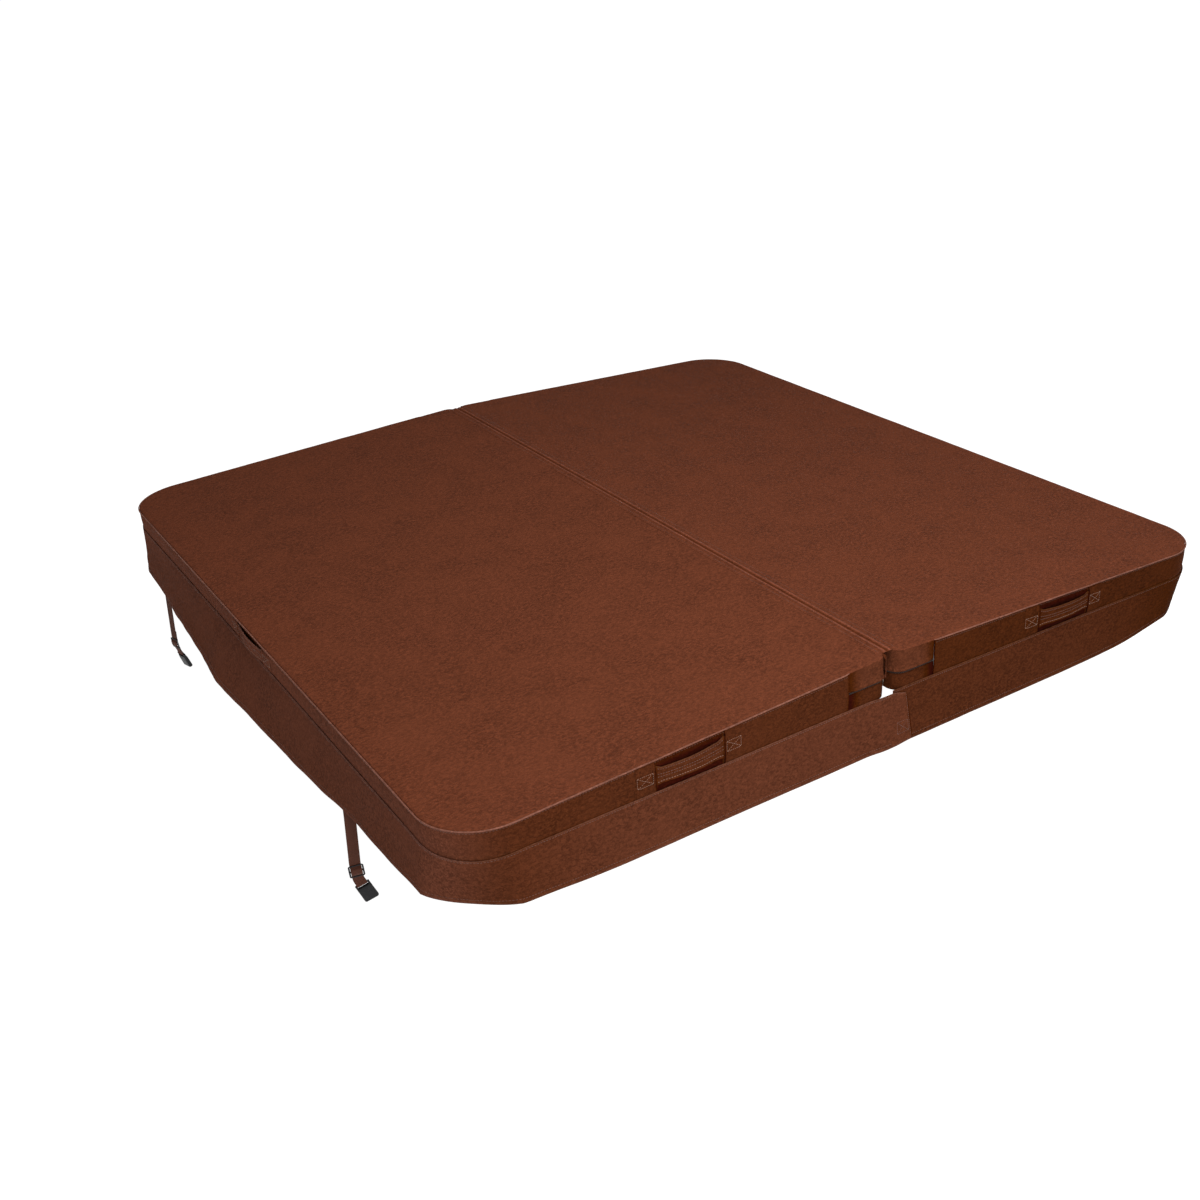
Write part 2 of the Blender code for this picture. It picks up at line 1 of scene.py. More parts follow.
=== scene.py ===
"""Looks of the bifold spa cover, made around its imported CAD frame. Lengths are in metres.

Each half is sewn to one pattern, drawn here for the left half (x < 0). The right half is the same
pattern turned about +Z, with creases of its own.
"""

import math

import bpy
import numpy as np
from mathutils import Matrix, Vector, noise


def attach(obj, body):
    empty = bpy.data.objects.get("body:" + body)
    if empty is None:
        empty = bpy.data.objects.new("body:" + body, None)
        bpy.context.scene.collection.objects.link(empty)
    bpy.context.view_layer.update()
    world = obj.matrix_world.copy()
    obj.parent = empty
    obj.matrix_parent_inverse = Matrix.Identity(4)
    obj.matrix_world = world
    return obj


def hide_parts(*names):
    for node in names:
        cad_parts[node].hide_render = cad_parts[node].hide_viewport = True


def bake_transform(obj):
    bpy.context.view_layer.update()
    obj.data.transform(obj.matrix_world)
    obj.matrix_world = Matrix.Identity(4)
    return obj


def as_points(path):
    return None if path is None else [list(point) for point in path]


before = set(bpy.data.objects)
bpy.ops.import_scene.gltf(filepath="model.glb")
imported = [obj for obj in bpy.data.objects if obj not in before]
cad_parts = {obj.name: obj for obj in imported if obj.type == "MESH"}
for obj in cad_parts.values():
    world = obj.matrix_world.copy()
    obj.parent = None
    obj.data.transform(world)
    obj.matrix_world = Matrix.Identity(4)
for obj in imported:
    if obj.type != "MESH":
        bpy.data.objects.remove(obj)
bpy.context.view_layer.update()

# the CAD model's dimensions, as in part.py
SIDE = 2.10
RIDGE_T = 0.100
EDGE_T = 0.060
CORNER_R = 0.140
FOLD_CORNER_R = 0.030
FOLD_GAP = 0.020
SKIRT_DROP = 0.130
GAP = 0.0003
SKIN = 0.0012
PIPE_R = 0.002
PIPE_DROP = 0.003
FACE = SIDE / 2 - 2 * PIPE_R - GAP
PIPE_OUT = PIPE_R + GAP
JACKET_R = CORNER_R - (SIDE / 2 - FACE)
SEAM_X = 0.120
ZIP_LOW = 0.040
ZIP_HIGH = 0.046
FILM = 0.0006
LINING = SKIN + GAP
CORE_IN = LINING + FILM + GAP + 0.0010 + GAP
LEAF_T = 0.0012
LEAF_WIDTH = 0.028
LEAF_HALF = 1.030
SKIRT_T = 0.0015
SKIRT_TOP = 0.008
FLAP_LIFT = 0.0045
LIFT_END = 0.020
LIFT_RAMP = 0.050
SIDE_FLARE = 0.038
SIDE_FLARE_BASE = 0.012
SIDE_FLARE_MIDDLE = 0.10
END_FLARE = 0.006
NEAR_TUCK = 0.028
FAR_TUCK = 0.012
CORNER_RISE = 0.010
CORNER_STAND = 0.0012
TUCK_X = 0.004
PATCH_X = (0.010, 0.044)
PATCH_Z = (-0.105, -0.030)
HOOK_STITCHES = (-0.101, -0.070)
HANDLE_T = 0.0025
HANDLE_LOOP = 0.166
HANDLE_PATCH = 0.043
HANDLE_BULGE = 0.010
HANDLE_LOW = 0.010
HANDLE_BELOW = 0.0065
END_HANDLE_X = 0.525
END_LOOP = (0.019, 0.022)
SIDE_LOOP = (0.014, 0.013)
SLIDER_Y = -1.0217
SLIDER_Z = (ZIP_LOW + ZIP_HIGH) / 2
SLIDER_SIZE = (0.0035, 0.011, 0.009)
PEG_R = 0.0012
PEG_LENGTH = 0.0030
PULL_T = 0.0012
PULL_WIDTH = 0.0070
PULL_HOLE_R = 0.0016
STRAP_X = 1.0445
STRAP_YS = {"left": {"a": 0.820, "b": -0.510}, "right": {"a": -0.820, "b": 0.510}}
STRAP_TURN = {"a": 0.30, "b": 1.30}
TURN_FROM, TURN_TO = 0.015, 0.125
STRAP_LEAN = {
    "a": [(0.13, 0.0), (0.17, -0.08), (0.290, -0.08), (0.296, 0.08), (0.329, 0.08),
          (0.336, 0.40), (0.342, 0.30)],
    "b": [(0.13, 0.0), (0.17, 0.06), (0.290, 0.06), (0.296, -0.04), (0.329, -0.04),
          (0.342, -0.36)],
}
LEAN_FLAT = {"a": True, "b": False}
STRAP_Z = -0.0030
WEB_T = 0.0014
WEB_WIDTH = 0.025
ADJUSTER_Z = -0.312
ADJUSTER_SIZE = (0.034, 0.031)
SLOT_WIDTH = 0.0264
SLOT_SPAN = (0.0020, 0.0130)
TAIL = 0.040
BAR_Z = -0.352
RAIL_T = 0.0020
RAIL_N = WEB_T / 2 + GAP + RAIL_T / 2
BUCKLE_N = -0.0009
BUCKLE_SIZE = (0.034, 0.0110, 0.0385)
BUCKLE_BAR_R = 0.0012
BUCKLE_SLOT = 0.0060
BUCKLE_WALL = 0.0025
BUCKLE_FLOOR = 0.0045

# the outer seam of a half, measured from the middle of the fold along the near end
RUN = FACE - JACKET_R
BEND = JACKET_R * math.pi / 2
OUTER = 4 * RUN + 2 * BEND

# looks only
FLAP_END_TOP = 0.040    # the flap's end, at its top and at the hem
FLAP_END_HEM = 0.058
FLAP_DROOP = 0.009      # how far the flap's top edge hangs down at its end
FLAP_S = -0.05          # the pattern coordinate of the flap's end
SEAM_ROLL = 0.0035      # radius of the top skin's turn into the piped seam
HINGE_SEAM_X = 0.007    # seam lines of the hinge web, from its middle
THREAD_R = 0.00042
FLOOR_Z = -0.44

HALVES = {"left": 0.0, "right": math.pi}
SEEDS = {"left": 0.0, "right": 37.0}


# ---------------------------------------------------------------- camera, light and floor

CAMERA_PLACE = (-1.780, -2.957, 1.540)
CAMERA_AZIMUTH = -33.02
CAMERA_ELEVATION = 28.42
CAMERA_ROLL = -2.49
CAMERA_LENS = 41.79
CAMERA_SHIFT = (-0.0658, 0.0358)


def add_object(name, data):
    made = bpy.data.objects.new(name, data)
    bpy.context.scene.collection.objects.link(made)
    return made


def camera():
    data = bpy.data.cameras.new("camera")
    data.lens = CAMERA_LENS
    data.sensor_width = 36.0
    data.shift_x, data.shift_y = CAMERA_SHIFT
    data.clip_start = 0.01
    data.clip_end = 200.0
    turn, tilt, roll = (math.radians(a) for a in (CAMERA_AZIMUTH, CAMERA_ELEVATION, CAMERA_ROLL))
    forward = Vector((-math.sin(turn) * math.cos(tilt), math.cos(turn) * math.cos(tilt),
                      -math.sin(tilt)))
    level = forward.cross(Vector((0, 0, 1))).normalized()
    upright = level.cross(forward)
    right = level * math.cos(roll) + upright * math.sin(roll)
    up = upright * math.cos(roll) - level * math.sin(roll)
    pose = Matrix((right, up, -forward)).transposed().to_4x4()
    pose.translation = CAMERA_PLACE
    made = add_object("camera", data)
    made.matrix_world = pose
    bpy.context.scene.camera = made


def area_light(name, place, aim, size, power):
    data = bpy.data.lights.new(name, "AREA")
    data.shape = "DISK"
    data.size = size
    data.energy = power
    made = add_object(name, data)
    made.location = place
    made.rotation_euler = (Vector(aim) - Vector(place)).to_track_quat("-Z", "Y").to_euler()


def studio():
    scene = bpy.context.scene
    scene.view_settings.view_transform = "Standard"
    world = bpy.data.worlds.new("studio")
    world.use_nodes = True
    background = world.node_tree.nodes["Background"]
    background.inputs["Color"].default_value = (1.0, 1.0, 1.0, 1)
    background.inputs["Strength"].default_value = 0.15
    scene.world = world
    area_light("key", (-1.05, -3.34, 1.21), (0.0, -0.5, 0.0), 1.0, 59)
    area_light("top", (0.15, -1.45, 3.86), (0.4, -0.3, 0.0), 2.6, 212)
    floor = add_object("floor", plain_grid("floor", 400.0))
    floor.location = (0, 0, FLOOR_Z)
    floor.data.materials.append(floor_material())


def plain_grid(name, size):
    mesh = bpy.data.meshes.new(name)
    h = size / 2
    mesh.from_pydata([(-h, -h, 0), (h, -h, 0), (h, h, 0), (-h, h, 0)], [], [(0, 1, 2, 3)])
    return mesh


# ---------------------------------------------------------------- material building

class Graph:
    """A material's node tree, with short calls to grow it."""

    def __init__(self, name):
        self.material = bpy.data.materials.new(name)
        self.material.use_nodes = True
        self.tree = self.material.node_tree
        self.shader = self.tree.nodes["Principled BSDF"]

    def put(self, target, value):
        if isinstance(value, bpy.types.NodeSocket):
            self.tree.links.new(value, target)
        else:
            target.default_value = value

    def add(self, kind, inputs=(), **settings):
        """A node with its settings, and its inputs as plain values or other nodes' sockets."""
        node = self.tree.nodes.new("ShaderNode" + kind)
        for key, value in settings.items():
            setattr(node, key, value)
        for key, value in dict(inputs).items():
            self.put(node.inputs[key], value)
        return node

    def coords(self, kind="Object"):
        return self.add("TexCoord").outputs[kind]

    def mark(self, name):
        """What the mesh's own attribute says."""
        return self.add("Attribute", attribute_name=name).outputs["Fac"]

    def maths(self, operation, a, b):
        return self.add("Math", {0: a, 1: b}, operation=operation).outputs[0]

    def vector(self, operation, *inputs):
        return self.add("VectorMath", enumerate(inputs), operation=operation).outputs[0]

    def scaled(self, vector, scale):
        return self.vector("MULTIPLY", vector, scale)

    def noise(self, vector, scale, detail=2.0, rough=0.5, distortion=0.0):
        inputs = {"Vector": vector, "Scale": scale, "Detail": detail, "Roughness": rough,
                  "Distortion": distortion}
        return self.add("TexNoise", inputs).outputs["Fac"]

    def warped(self, vector, scale, amount):
        """The coordinates pushed about by a noise."""
        node = self.add("TexNoise", {"Vector": vector, "Scale": scale, "Detail": 2.0})
        push = self.add("VectorMath", {0: node.outputs["Color"], "Scale": amount},
                        operation="SCALE")
        return self.vector("ADD", vector, push.outputs[0])

    def cells(self, vector, scale, feature="DISTANCE_TO_EDGE"):
        node = self.add("TexVoronoi", {"Vector": vector, "Scale": scale}, feature=feature)
        return node.outputs["Distance"]

    def wave(self, vector, scale, direction):
        node = self.add("TexWave", {"Vector": vector, "Scale": scale}, wave_type="BANDS",
                        wave_profile="SIN", bands_direction=direction)
        return node.outputs["Fac"]

    def ranged(self, value, low, high, to_low, to_high):
        inputs = {"Value": value, "From Min": low, "From Max": high, "To Min": to_low,
                  "To Max": to_high}
        return self.add("MapRange", inputs).outputs["Result"]

    def blend(self, factor, a, b):
        """A mix of two colours."""
        node = self.add("Mix", {0: factor}, data_type="RGBA")
        sockets = [s for s in node.inputs if s.type == "RGBA"]
        for socket, colour in zip(sockets, (a, b)):
            self.put(socket, (*colour, 1) if isinstance(colour, tuple) else colour)
        return [s for s in node.outputs if s.type == "RGBA"][0]

    def between(self, value, low, high, a, b):
        """Colour a where the value is low, to colour b where it is high."""
        return self.blend(self.ranged(value, low, high, 0.0, 1.0), a, b)

    def bump(self, height, depth, strength=1.0, under=None):
        node = self.add("Bump", {"Strength": strength, "Distance": depth, "Height": height})
        if under is not None:
            self.put(node.inputs["Normal"], under)
        return node.outputs["Normal"]

    def finish(self, colour, roughness, normal=None, **direct):
        """Fill the shader's sockets; the direct ones are plain values."""
        self.put(self.shader.inputs["Base Color"], colour)
        self.put(self.shader.inputs["Roughness"], roughness)
        if normal is not None:
            self.put(self.shader.inputs["Normal"], normal)
        for key, value in direct.items():
            self.shader.inputs[key.replace("_", " ")].default_value = value
        return self.material


def shade(colour, factor):
    return tuple(c * factor for c in colour)


VINYL = (0.104, 0.0288, 0.0132)
# the same vinyl on the sides, its colour set apart from the top's as painted light for how the
# light falls there
SIDE_VINYL = (0.097, 0.0298, 0.0148)
# how strongly red, green and blue follow the painted light and shade: painted-lit vinyl turns
# pinker, painted-shaded vinyl richer
PAINTED_LIGHT_GAINS = (1.0, 1.23, 1.72)
# the lighter colour of rubbed edges and of painted edge highlights
WEAR_HIGHLIGHT_COLOUR = (0.24, 0.13, 0.095)
UNDERSIDE = (0.070, 0.0220, 0.0095)
# the piping's vinyl, painted lighter for the highlight along its round top
WELT_WITH_HIGHLIGHT = (0.165, 0.066, 0.044)
THREAD = (0.19, 0.086, 0.048)
DARK_THREAD = (0.088, 0.027, 0.013)
WEBBING = (0.108, 0.037, 0.022)


def vinyl_material(name, colour, ior, wear_highlight_strength=0.0):
    """Leather-grain vinyl: pebbles between creases, mottled colour, and edges made lighter, partly
    by rubbed wear and partly by painted highlights.

    The mesh's "shade" mark is painted light and shade: lighter and duller where painted lit, darker
    and richer where painted shaded. Its edge mark blends in the lighter colour of rubbed wear and
    painted edge highlights.
    """
    g = Graph(name)
    place = g.coords()
    pushed = g.warped(place, 90.0, 0.004)
    pebbles = g.ranged(g.cells(pushed, 330.0), 0.0, 0.22, 0.0, 1.0)
    wrinkles = g.noise(g.scaled(pushed, (1.0, 1.5, 1.5)), 125.0, 4.0, 0.68, 0.6)
    clouds = g.noise(place, 9.0, 3.0, 0.55)
    patches = g.noise(place, 60.0, 3.0, 0.6)
    grain = g.between(wrinkles, 0.39, 0.61, shade(colour, 0.56), shade(colour, 1.42))
    grain = g.blend(g.ranged(pebbles, 0.0, 1.0, 0.55, 0.0), grain, shade(colour, 0.60))
    grain = g.blend(g.ranged(patches, 0.38, 0.62, 0.22, 0.0), grain, shade(colour, 0.66))
    grain = g.blend(g.ranged(clouds, 0.35, 0.65, 0.0, 0.35), grain, shade(colour, 1.20))
    # lighter where the mesh marks rubbed wear and painted edge highlights
    wear_highlight_mask = g.maths("MULTIPLY", g.mark("wear_and_highlight"), g.ranged(wrinkles, 0.3, 0.7, 0.3, 1.0))
    grain = g.blend(g.maths("MULTIPLY", wear_highlight_mask, wear_highlight_strength), grain, WEAR_HIGHLIGHT_COLOUR)
    # painted light and shade, from the mesh's "shade" mark
    gain = g.vector("MULTIPLY_ADD", g.mark("shade"), PAINTED_LIGHT_GAINS, (1, 1, 1))
    grain = g.vector("MULTIPLY", grain, g.vector("MAXIMUM", gain, (0.12, 0.12, 0.12)))
    rough = g.ranged(g.maths("ADD", wrinkles, clouds), 0.7, 1.3, 0.46, 0.66)
    normal = g.bump(g.noise(place, 1500.0, 2.0), 0.00006, 0.5)
    normal = g.bump(wrinkles, 0.0017, 0.75, normal)
    normal = g.bump(pebbles, 0.0003, 0.7, normal)
    return g.finish(grain, rough, normal, IOR=ior, Specular_Tint=(0.80, 0.52, 0.42, 1))


def grained(name, textures, colour, rough, bump, **direct):
    """A material whose colour, roughness and bump each follow one of its textures.

    Each texture is a Graph call with its numbers; colour and rough are a texture's name with the
    span of it and what that span turns into; bump is a texture's name, a depth and a strength.
    """
    g = Graph(name)
    place = g.coords()
    made = {key: getattr(g, kind)(place, *numbers) for key, (kind, *numbers) in textures.items()}
    return g.finish(g.between(made[colour[0]], *colour[1:]), g.ranged(made[rough[0]], *rough[1:]),
                    g.bump(made[bump[0]], *bump[1:]), **direct)


def thread_material(name, base):
    return grained(name, {"fuzz": ("noise", 2600.0), "tone": ("noise", 130.0)},
                   ("tone", 0.3, 0.7, shade(base, 0.75), base), ("fuzz", 0.3, 0.7, 0.55, 0.75),
                   ("fuzz", 0.0001, 0.5), Sheen_Weight=0.2)


def webbing_material():
    """Woven strap: ribs along it and a herringbone of picks, from the strap's own coordinates."""
    g = Graph("webbing")
    along = g.coords("UV")
    warp = g.wave(g.scaled(along, (0, 1, 0)), 1 / 0.0022 / 2 / math.pi * 10, "Y")
    weft = g.wave(g.scaled(along, (1, 0.6, 0)), 1 / 0.0016 / 2 / math.pi * 10, "X")
    weave = g.maths("MULTIPLY", warp, weft)
    fuzz = g.noise(g.coords(), 900.0, 3.0)
    colour = g.between(weave, 0.0, 0.8, shade(WEBBING, 0.62), shade(WEBBING, 1.25))
    colour = g.blend(g.ranged(fuzz, 0.4, 0.7, 0.0, 0.4), colour, shade(WEBBING, 1.5))
    normal = g.bump(weave, 0.0004, 0.8, g.bump(fuzz, 0.0001, 0.4))
    return g.finish(colour, g.ranged(fuzz, 0.3, 0.7, 0.72, 0.9), normal, Sheen_Weight=0.06,
                    Specular_IOR_Level=0.10)


def metal_material(name, colour, low, high):
    """Plated metal with handling marks."""
    g = Graph(name)
    marks = g.noise(g.scaled(g.coords(), (1.0, 6.0, 1.0)), 180.0, 4.0, 0.6)
    tint = g.between(marks, 0.3, 0.7, shade(colour, 0.8), colour)
    return g.finish(tint, g.ranged(marks, 0.3, 0.7, low, high), g.bump(marks, 0.00005, 0.3),
                    Metallic=1.0)


def floor_material():
    g = Graph("floor")
    tone = g.noise(g.coords(), 0.6, 2.0)
    colour = g.between(tone, 0.3, 0.7, (0.20, 0.20, 0.20), (0.22, 0.22, 0.22))
    return g.finish(colour, 0.9, None, Emission_Color=(1, 1, 1, 1), Emission_Strength=1.0,
                    Specular_IOR_Level=0.0)


LOOKS = {}
SLOTS = {"side_vinyl": "vinyl", "thread": "piping", "dark_thread": "piping",
         "zip_coil": "zip_tape"}    # each look paired with the look whose material slot it would share; add_piece looks the pair up and uses nothing of it


def make_looks():
    LOOKS.update({
        "vinyl": vinyl_material("vinyl", VINYL, 1.11, 0.55),
        "side_vinyl": vinyl_material("side_vinyl", SIDE_VINYL, 1.02, 0.45),
        "vinyl_underside": vinyl_material("vinyl_underside", UNDERSIDE, 1.10),
        "piping": vinyl_material("piping", WELT_WITH_HIGHLIGHT, 1.15, 0.30),
        "thread": thread_material("thread", THREAD),
        "dark_thread": thread_material("dark_thread", DARK_THREAD),
        "webbing": webbing_material(),
        "zip_metal": metal_material("zip_metal", (0.50, 0.44, 0.36), 0.24, 0.42),
        # moulded acetal, spark-eroded, with dusty highs
        "black_plastic": grained(
            "black_plastic", {"grit": ("noise", 2200.0), "dust": ("noise", 160.0, 4.0)},
            ("dust", 0.5, 0.75, (0.010, 0.010, 0.011), (0.022, 0.021, 0.021)),
            ("dust", 0.3, 0.7, 0.34, 0.50), ("grit", 0.00006, 0.5), Specular_IOR_Level=0.22),
        # galvanised sheet with spangled zinc
        "steel": grained(
            "steel", {"spangle": ("cells", 90.0, "F1"), "grain": ("noise", 400.0, 3.0)},
            ("spangle", 0.1, 0.7, (0.46, 0.48, 0.50), (0.62, 0.63, 0.65)),
            ("spangle", 0.0, 0.8, 0.30, 0.48), ("grain", 0.0001, 0.3), Metallic=1.0),
        # fused beads with dark little gaps
        "foam": grained(
            "foam", {"beads": ("cells", 260.0), "tone": ("noise", 14.0)},
            ("beads", 0.0, 0.12, (0.62, 0.63, 0.64), (0.84, 0.85, 0.86)),
            ("tone", 0.3, 0.7, 0.78, 0.9), ("beads", 0.0006, 0.7)),
        # translucent polythene with soft crinkles
        "film": grained(
            "film", {"crinkle": ("noise", 60.0, 5.0, 0.6, 1.5)},
            ("crinkle", 0.3, 0.7, (0.66, 0.70, 0.74), (0.80, 0.84, 0.88)),
            ("crinkle", 0.3, 0.7, 0.2, 0.4), ("crinkle", 0.002, 0.6),
            Transmission_Weight=0.35, IOR=1.5),
        # knitted tape, moulded coil, and the nap of hook and loop
        "zip_tape": grained(
            "zip_tape", {"knit": ("cells", 1100.0), "tone": ("noise", 70.0)},
            ("knit", 0.0, 0.3, (0.010, 0.005, 0.003), (0.026, 0.011, 0.007)),
            ("tone", 0.3, 0.7, 0.75, 0.9), ("knit", 0.0003, 0.6), Specular_IOR_Level=0.10),
        "zip_coil": grained(
            "zip_coil", {"tone": ("noise", 240.0)},
            ("tone", 0.3, 0.7, (0.016, 0.012, 0.010), (0.040, 0.028, 0.022)),
            ("tone", 0.3, 0.7, 0.32, 0.48), ("tone", 0.0001, 0.3), Specular_IOR_Level=0.15),
        "hook_and_loop": grained(
            "hook_and_loop", {"nap": ("cells", 900.0, "F1"), "tone": ("noise", 60.0, 3.0)},
            ("nap", 0.0, 0.6, (0.012, 0.009, 0.008), (0.045, 0.034, 0.028)),
            ("tone", 0.3, 0.7, 0.88, 0.98), ("nap", 0.0008, 0.8), Sheen_Weight=0.3),
    })


# ---------------------------------------------------------------- meshes

def smooth(t):
    t = min(max(t, 0.0), 1.0)
    return t * t * (3 - 2 * t)


def wavy(x, y, size, seed):
    """Soft noise about zero, with features about size across."""
    return noise.noise(Vector((x / size, y / size, seed)))


def make_mesh(name, points, faces, uvs=None, sharp=35.0):
    mesh = bpy.data.meshes.new(name)
    mesh.from_pydata([tuple(p) for p in points], [], faces)
    if uvs is not None:
        layer = mesh.uv_layers.new(name="metres")
        order = np.empty(len(mesh.loops), int)
        mesh.loops.foreach_get("vertex_index", order)
        layer.data.foreach_set("uv", np.asarray(uvs, float)[order].ravel())
    mesh.validate()
    mesh.shade_smooth()
    mesh.set_sharp_from_angle(angle=math.radians(sharp))
    return mesh


class Cloth:
    """A sheet's outer face, as a grid of points over u and v, in metres along the cut cloth."""

    def __init__(self, us, vs, place):
        self.us, self.vs = np.asarray(us, float), np.asarray(vs, float)
        self.points = np.array([[place(u, v) for v in vs] for u in us], float)
        across = np.gradient(self.points, axis=1)
        along = np.gradient(self.points, axis=0)
        normals = np.cross(across, along)
        self.normals = normals / np.linalg.norm(normals, axis=2, keepdims=True)

    def at(self, u, v):
        """The point and the normal at (u, v)."""
        i = int(np.clip(np.searchsorted(self.us, u) - 1, 0, len(self.us) - 2))
        j = int(np.clip(np.searchsorted(self.vs, v) - 1, 0, len(self.vs) - 2))
        a = (u - self.us[i]) / (self.us[i + 1] - self.us[i])
        b = (v - self.vs[j]) / (self.vs[j + 1] - self.vs[j])

        def mixed(grid):
            near = grid[i, j] * (1 - b) + grid[i, j + 1] * b
            far = grid[i + 1, j] * (1 - b) + grid[i + 1, j + 1] * b
            return near * (1 - a) + far * a

        return mixed(self.points), mixed(self.normals)

    def mesh(self, name, thickness, **marks):
        """The sheet as a closed shell; thickness and each mark are a number or one per point."""
        n, m = len(self.us), len(self.vs)
        thick = np.broadcast_to(np.asarray(thickness, float), (n, m))[..., None]
        inner = self.points - self.normals * thick
        points = np.concatenate([self.points.reshape(-1, 3), inner.reshape(-1, 3)])
        size = n * m

        def at(i, j):
            return i * m + j

        faces = []
        for i in range(n - 1):
            for j in range(m - 1):
                ring = (at(i, j), at(i, j + 1), at(i + 1, j + 1), at(i + 1, j))
                faces.append(ring)
                faces.append(tuple(size + k for k in reversed(ring)))
        border = [at(i, 0) for i in range(n)] + [at(n - 1, j) for j in range(1, m)]
        border += [at(i, m - 1) for i in range(n - 2, -1, -1)]
        border += [at(0, j) for j in range(m - 2, 0, -1)]
        for a, b in zip(border, border[1:] + border[:1]):
            faces.append((a, b, size + b, size + a))
        grid_u, grid_v = np.meshgrid(self.us, self.vs, indexing="ij")
        uvs = np.stack([grid_u, grid_v], -1).reshape(-1, 2)
        mesh = make_mesh(name, points, faces, np.concatenate([uvs, uvs]))
        for mark, values in marks.items():
            spread = np.broadcast_to(np.asarray(values, np.float32), (n, m)).reshape(-1)
            attribute = mesh.attributes.new(mark, "FLOAT", "POINT")
            attribute.data.foreach_set("value", np.tile(spread, 2))
        return mesh


def loft(name, rings, sharp=35.0):
    """A capped skin over rings of points, with u round the ring and v along, in metres."""
    rings = np.asarray(rings, float)
    n, m = rings.shape[:2]
    faces = []
    for k in range(n - 1):
        for i in range(m):
            j = (i + 1) % m
            faces.append((k * m + i, k * m + j, (k + 1) * m + j, (k + 1) * m + i))
    faces.append(tuple(reversed(range(m))))
    faces.append(tuple(range((n - 1) * m, n * m)))
    centres = rings.mean(axis=1)
    run = np.concatenate([[0], np.cumsum(np.linalg.norm(np.diff(centres, axis=0), axis=1))])
    sides = np.linalg.norm(np.diff(rings[0], axis=0), axis=1)
    round_ = np.concatenate([[0], np.cumsum(sides)])
    uvs = np.stack([np.tile(round_, n), np.repeat(run, m)], -1)
    return make_mesh(name, rings.reshape(-1, 3), faces, uvs, sharp)


STITCH_T = np.array([0.0, 0.16, 0.5, 0.84, 1.0])
STITCH_WIDE = np.array([0.25, 0.9, 1.0, 0.9, 0.25])
STITCH_HIGH = np.array([-0.9, 0.1, 0.45, 0.1, -0.9])


def stitch_mesh(name, starts, ends, normals, radius, sides=5):
    """One mesh of little thread humps, each from a start to an end over a surface."""
    starts, ends, normals = (np.asarray(a, float) for a in (starts, ends, normals))
    count = len(starts)
    normals = normals / np.linalg.norm(normals, axis=1, keepdims=True)
    along = ends - starts
    side = np.cross(along, normals)
    side = side / np.linalg.norm(side, axis=1, keepdims=True)
    rings = len(STITCH_T)
    turns = np.arange(sides) * math.tau / sides
    line = starts[:, None] + along[:, None] * STITCH_T[None, :, None]
    line = line + normals[:, None] * (STITCH_HIGH * radius)[None, :, None]
    wide = (STITCH_WIDE * radius)[None, :, None, None]
    offset = (np.cos(turns)[None, None, :, None] * side[:, None, None]
              + np.sin(turns)[None, None, :, None] * normals[:, None, None])
    points = (line[:, :, None] + wide * offset).reshape(-1, 3)
    one = []
    for k in range(rings - 1):
        for i in range(sides):
            j = (i + 1) % sides
            one.append((k * sides + i, (k + 1) * sides + i, (k + 1) * sides + j, k * sides + j))
    per = rings * sides
    faces = [tuple(c * per + k for k in face) for c in range(count) for face in one]
    caps = [tuple(range(sides)), tuple(range(per - 1, per - sides - 1, -1))]
    faces += [tuple(c * per + k for k in face) for c in range(count) for face in caps]
    return make_mesh(name, points, faces, None, 60.0)


class Seam:
    """Collects stitches over sheets, then makes one piece of them."""

    def __init__(self, radius=THREAD_R):
        self.starts, self.ends, self.normals = [], [], []
        self.radius = radius

    def row(self, cloth, a, b, pitch=0.0062, tall=1.0):
        """A straight row over the cloth from (u, v) a to b; tall is how many metres a v is."""
        a, b = np.asarray(a, float), np.asarray(b, float)
        count = max(1, round(math.hypot(b[0] - a[0], (b[1] - a[1]) * tall) / pitch))
        for k in range(count):
            p, normal = cloth.at(*(a + (b - a) * (k + 0.12) / count))
            q, _ = cloth.at(*(a + (b - a) * (k + 0.88) / count))
            self.starts.append(p)
            self.ends.append(q)
            self.normals.append(normal)

    def crossed_box(self, cloth, us, span, zs):
        """A rectangle with a cross in it; the cloth's v runs over the heights of span."""
        low, high = span
        v0, v1 = ((z - low) / (high - low) for z in zs)
        corners = [(us[0], v0), (us[1], v0), (us[1], v1), (us[0], v1)]
        legs = list(zip(corners, corners[1:] + corners[:1]))
        for a, b in legs + [(corners[0], corners[2]), (corners[1], corners[3])]:
            self.row(cloth, a, b, 0.0048, high - low)

    def mesh(self, name):
        return stitch_mesh(name, self.starts, self.ends, self.normals, self.radius)


def add_piece(name, mesh, look, body=None, nodes=()):
    """A piece in its place, riding on a body and standing for CAD nodes."""
    mesh.materials.clear()
    mesh.materials.append(LOOKS[look])
    made = add_object(name, mesh)
    SLOTS.get(look, look)
    if body:
        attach(made, body)
    if nodes:
        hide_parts(*nodes)
    return made


def half_piece(half, name, mesh, look, node=None, body="panel"):
    """A piece drawn on the left half's pattern, turned to its own half."""
    mesh.transform(Matrix.Rotation(HALVES[half], 4, "Z"))
    return add_piece(f"{half}_{name}", mesh, look, f"{half}_{body}",
                     [f"{half}_{node}"] if node else ())


# ---------------------------------------------------------------- the left half's outline

def top_z(x):
    return EDGE_T + (RIDGE_T - EDGE_T) * (1 - abs(x) / FACE)


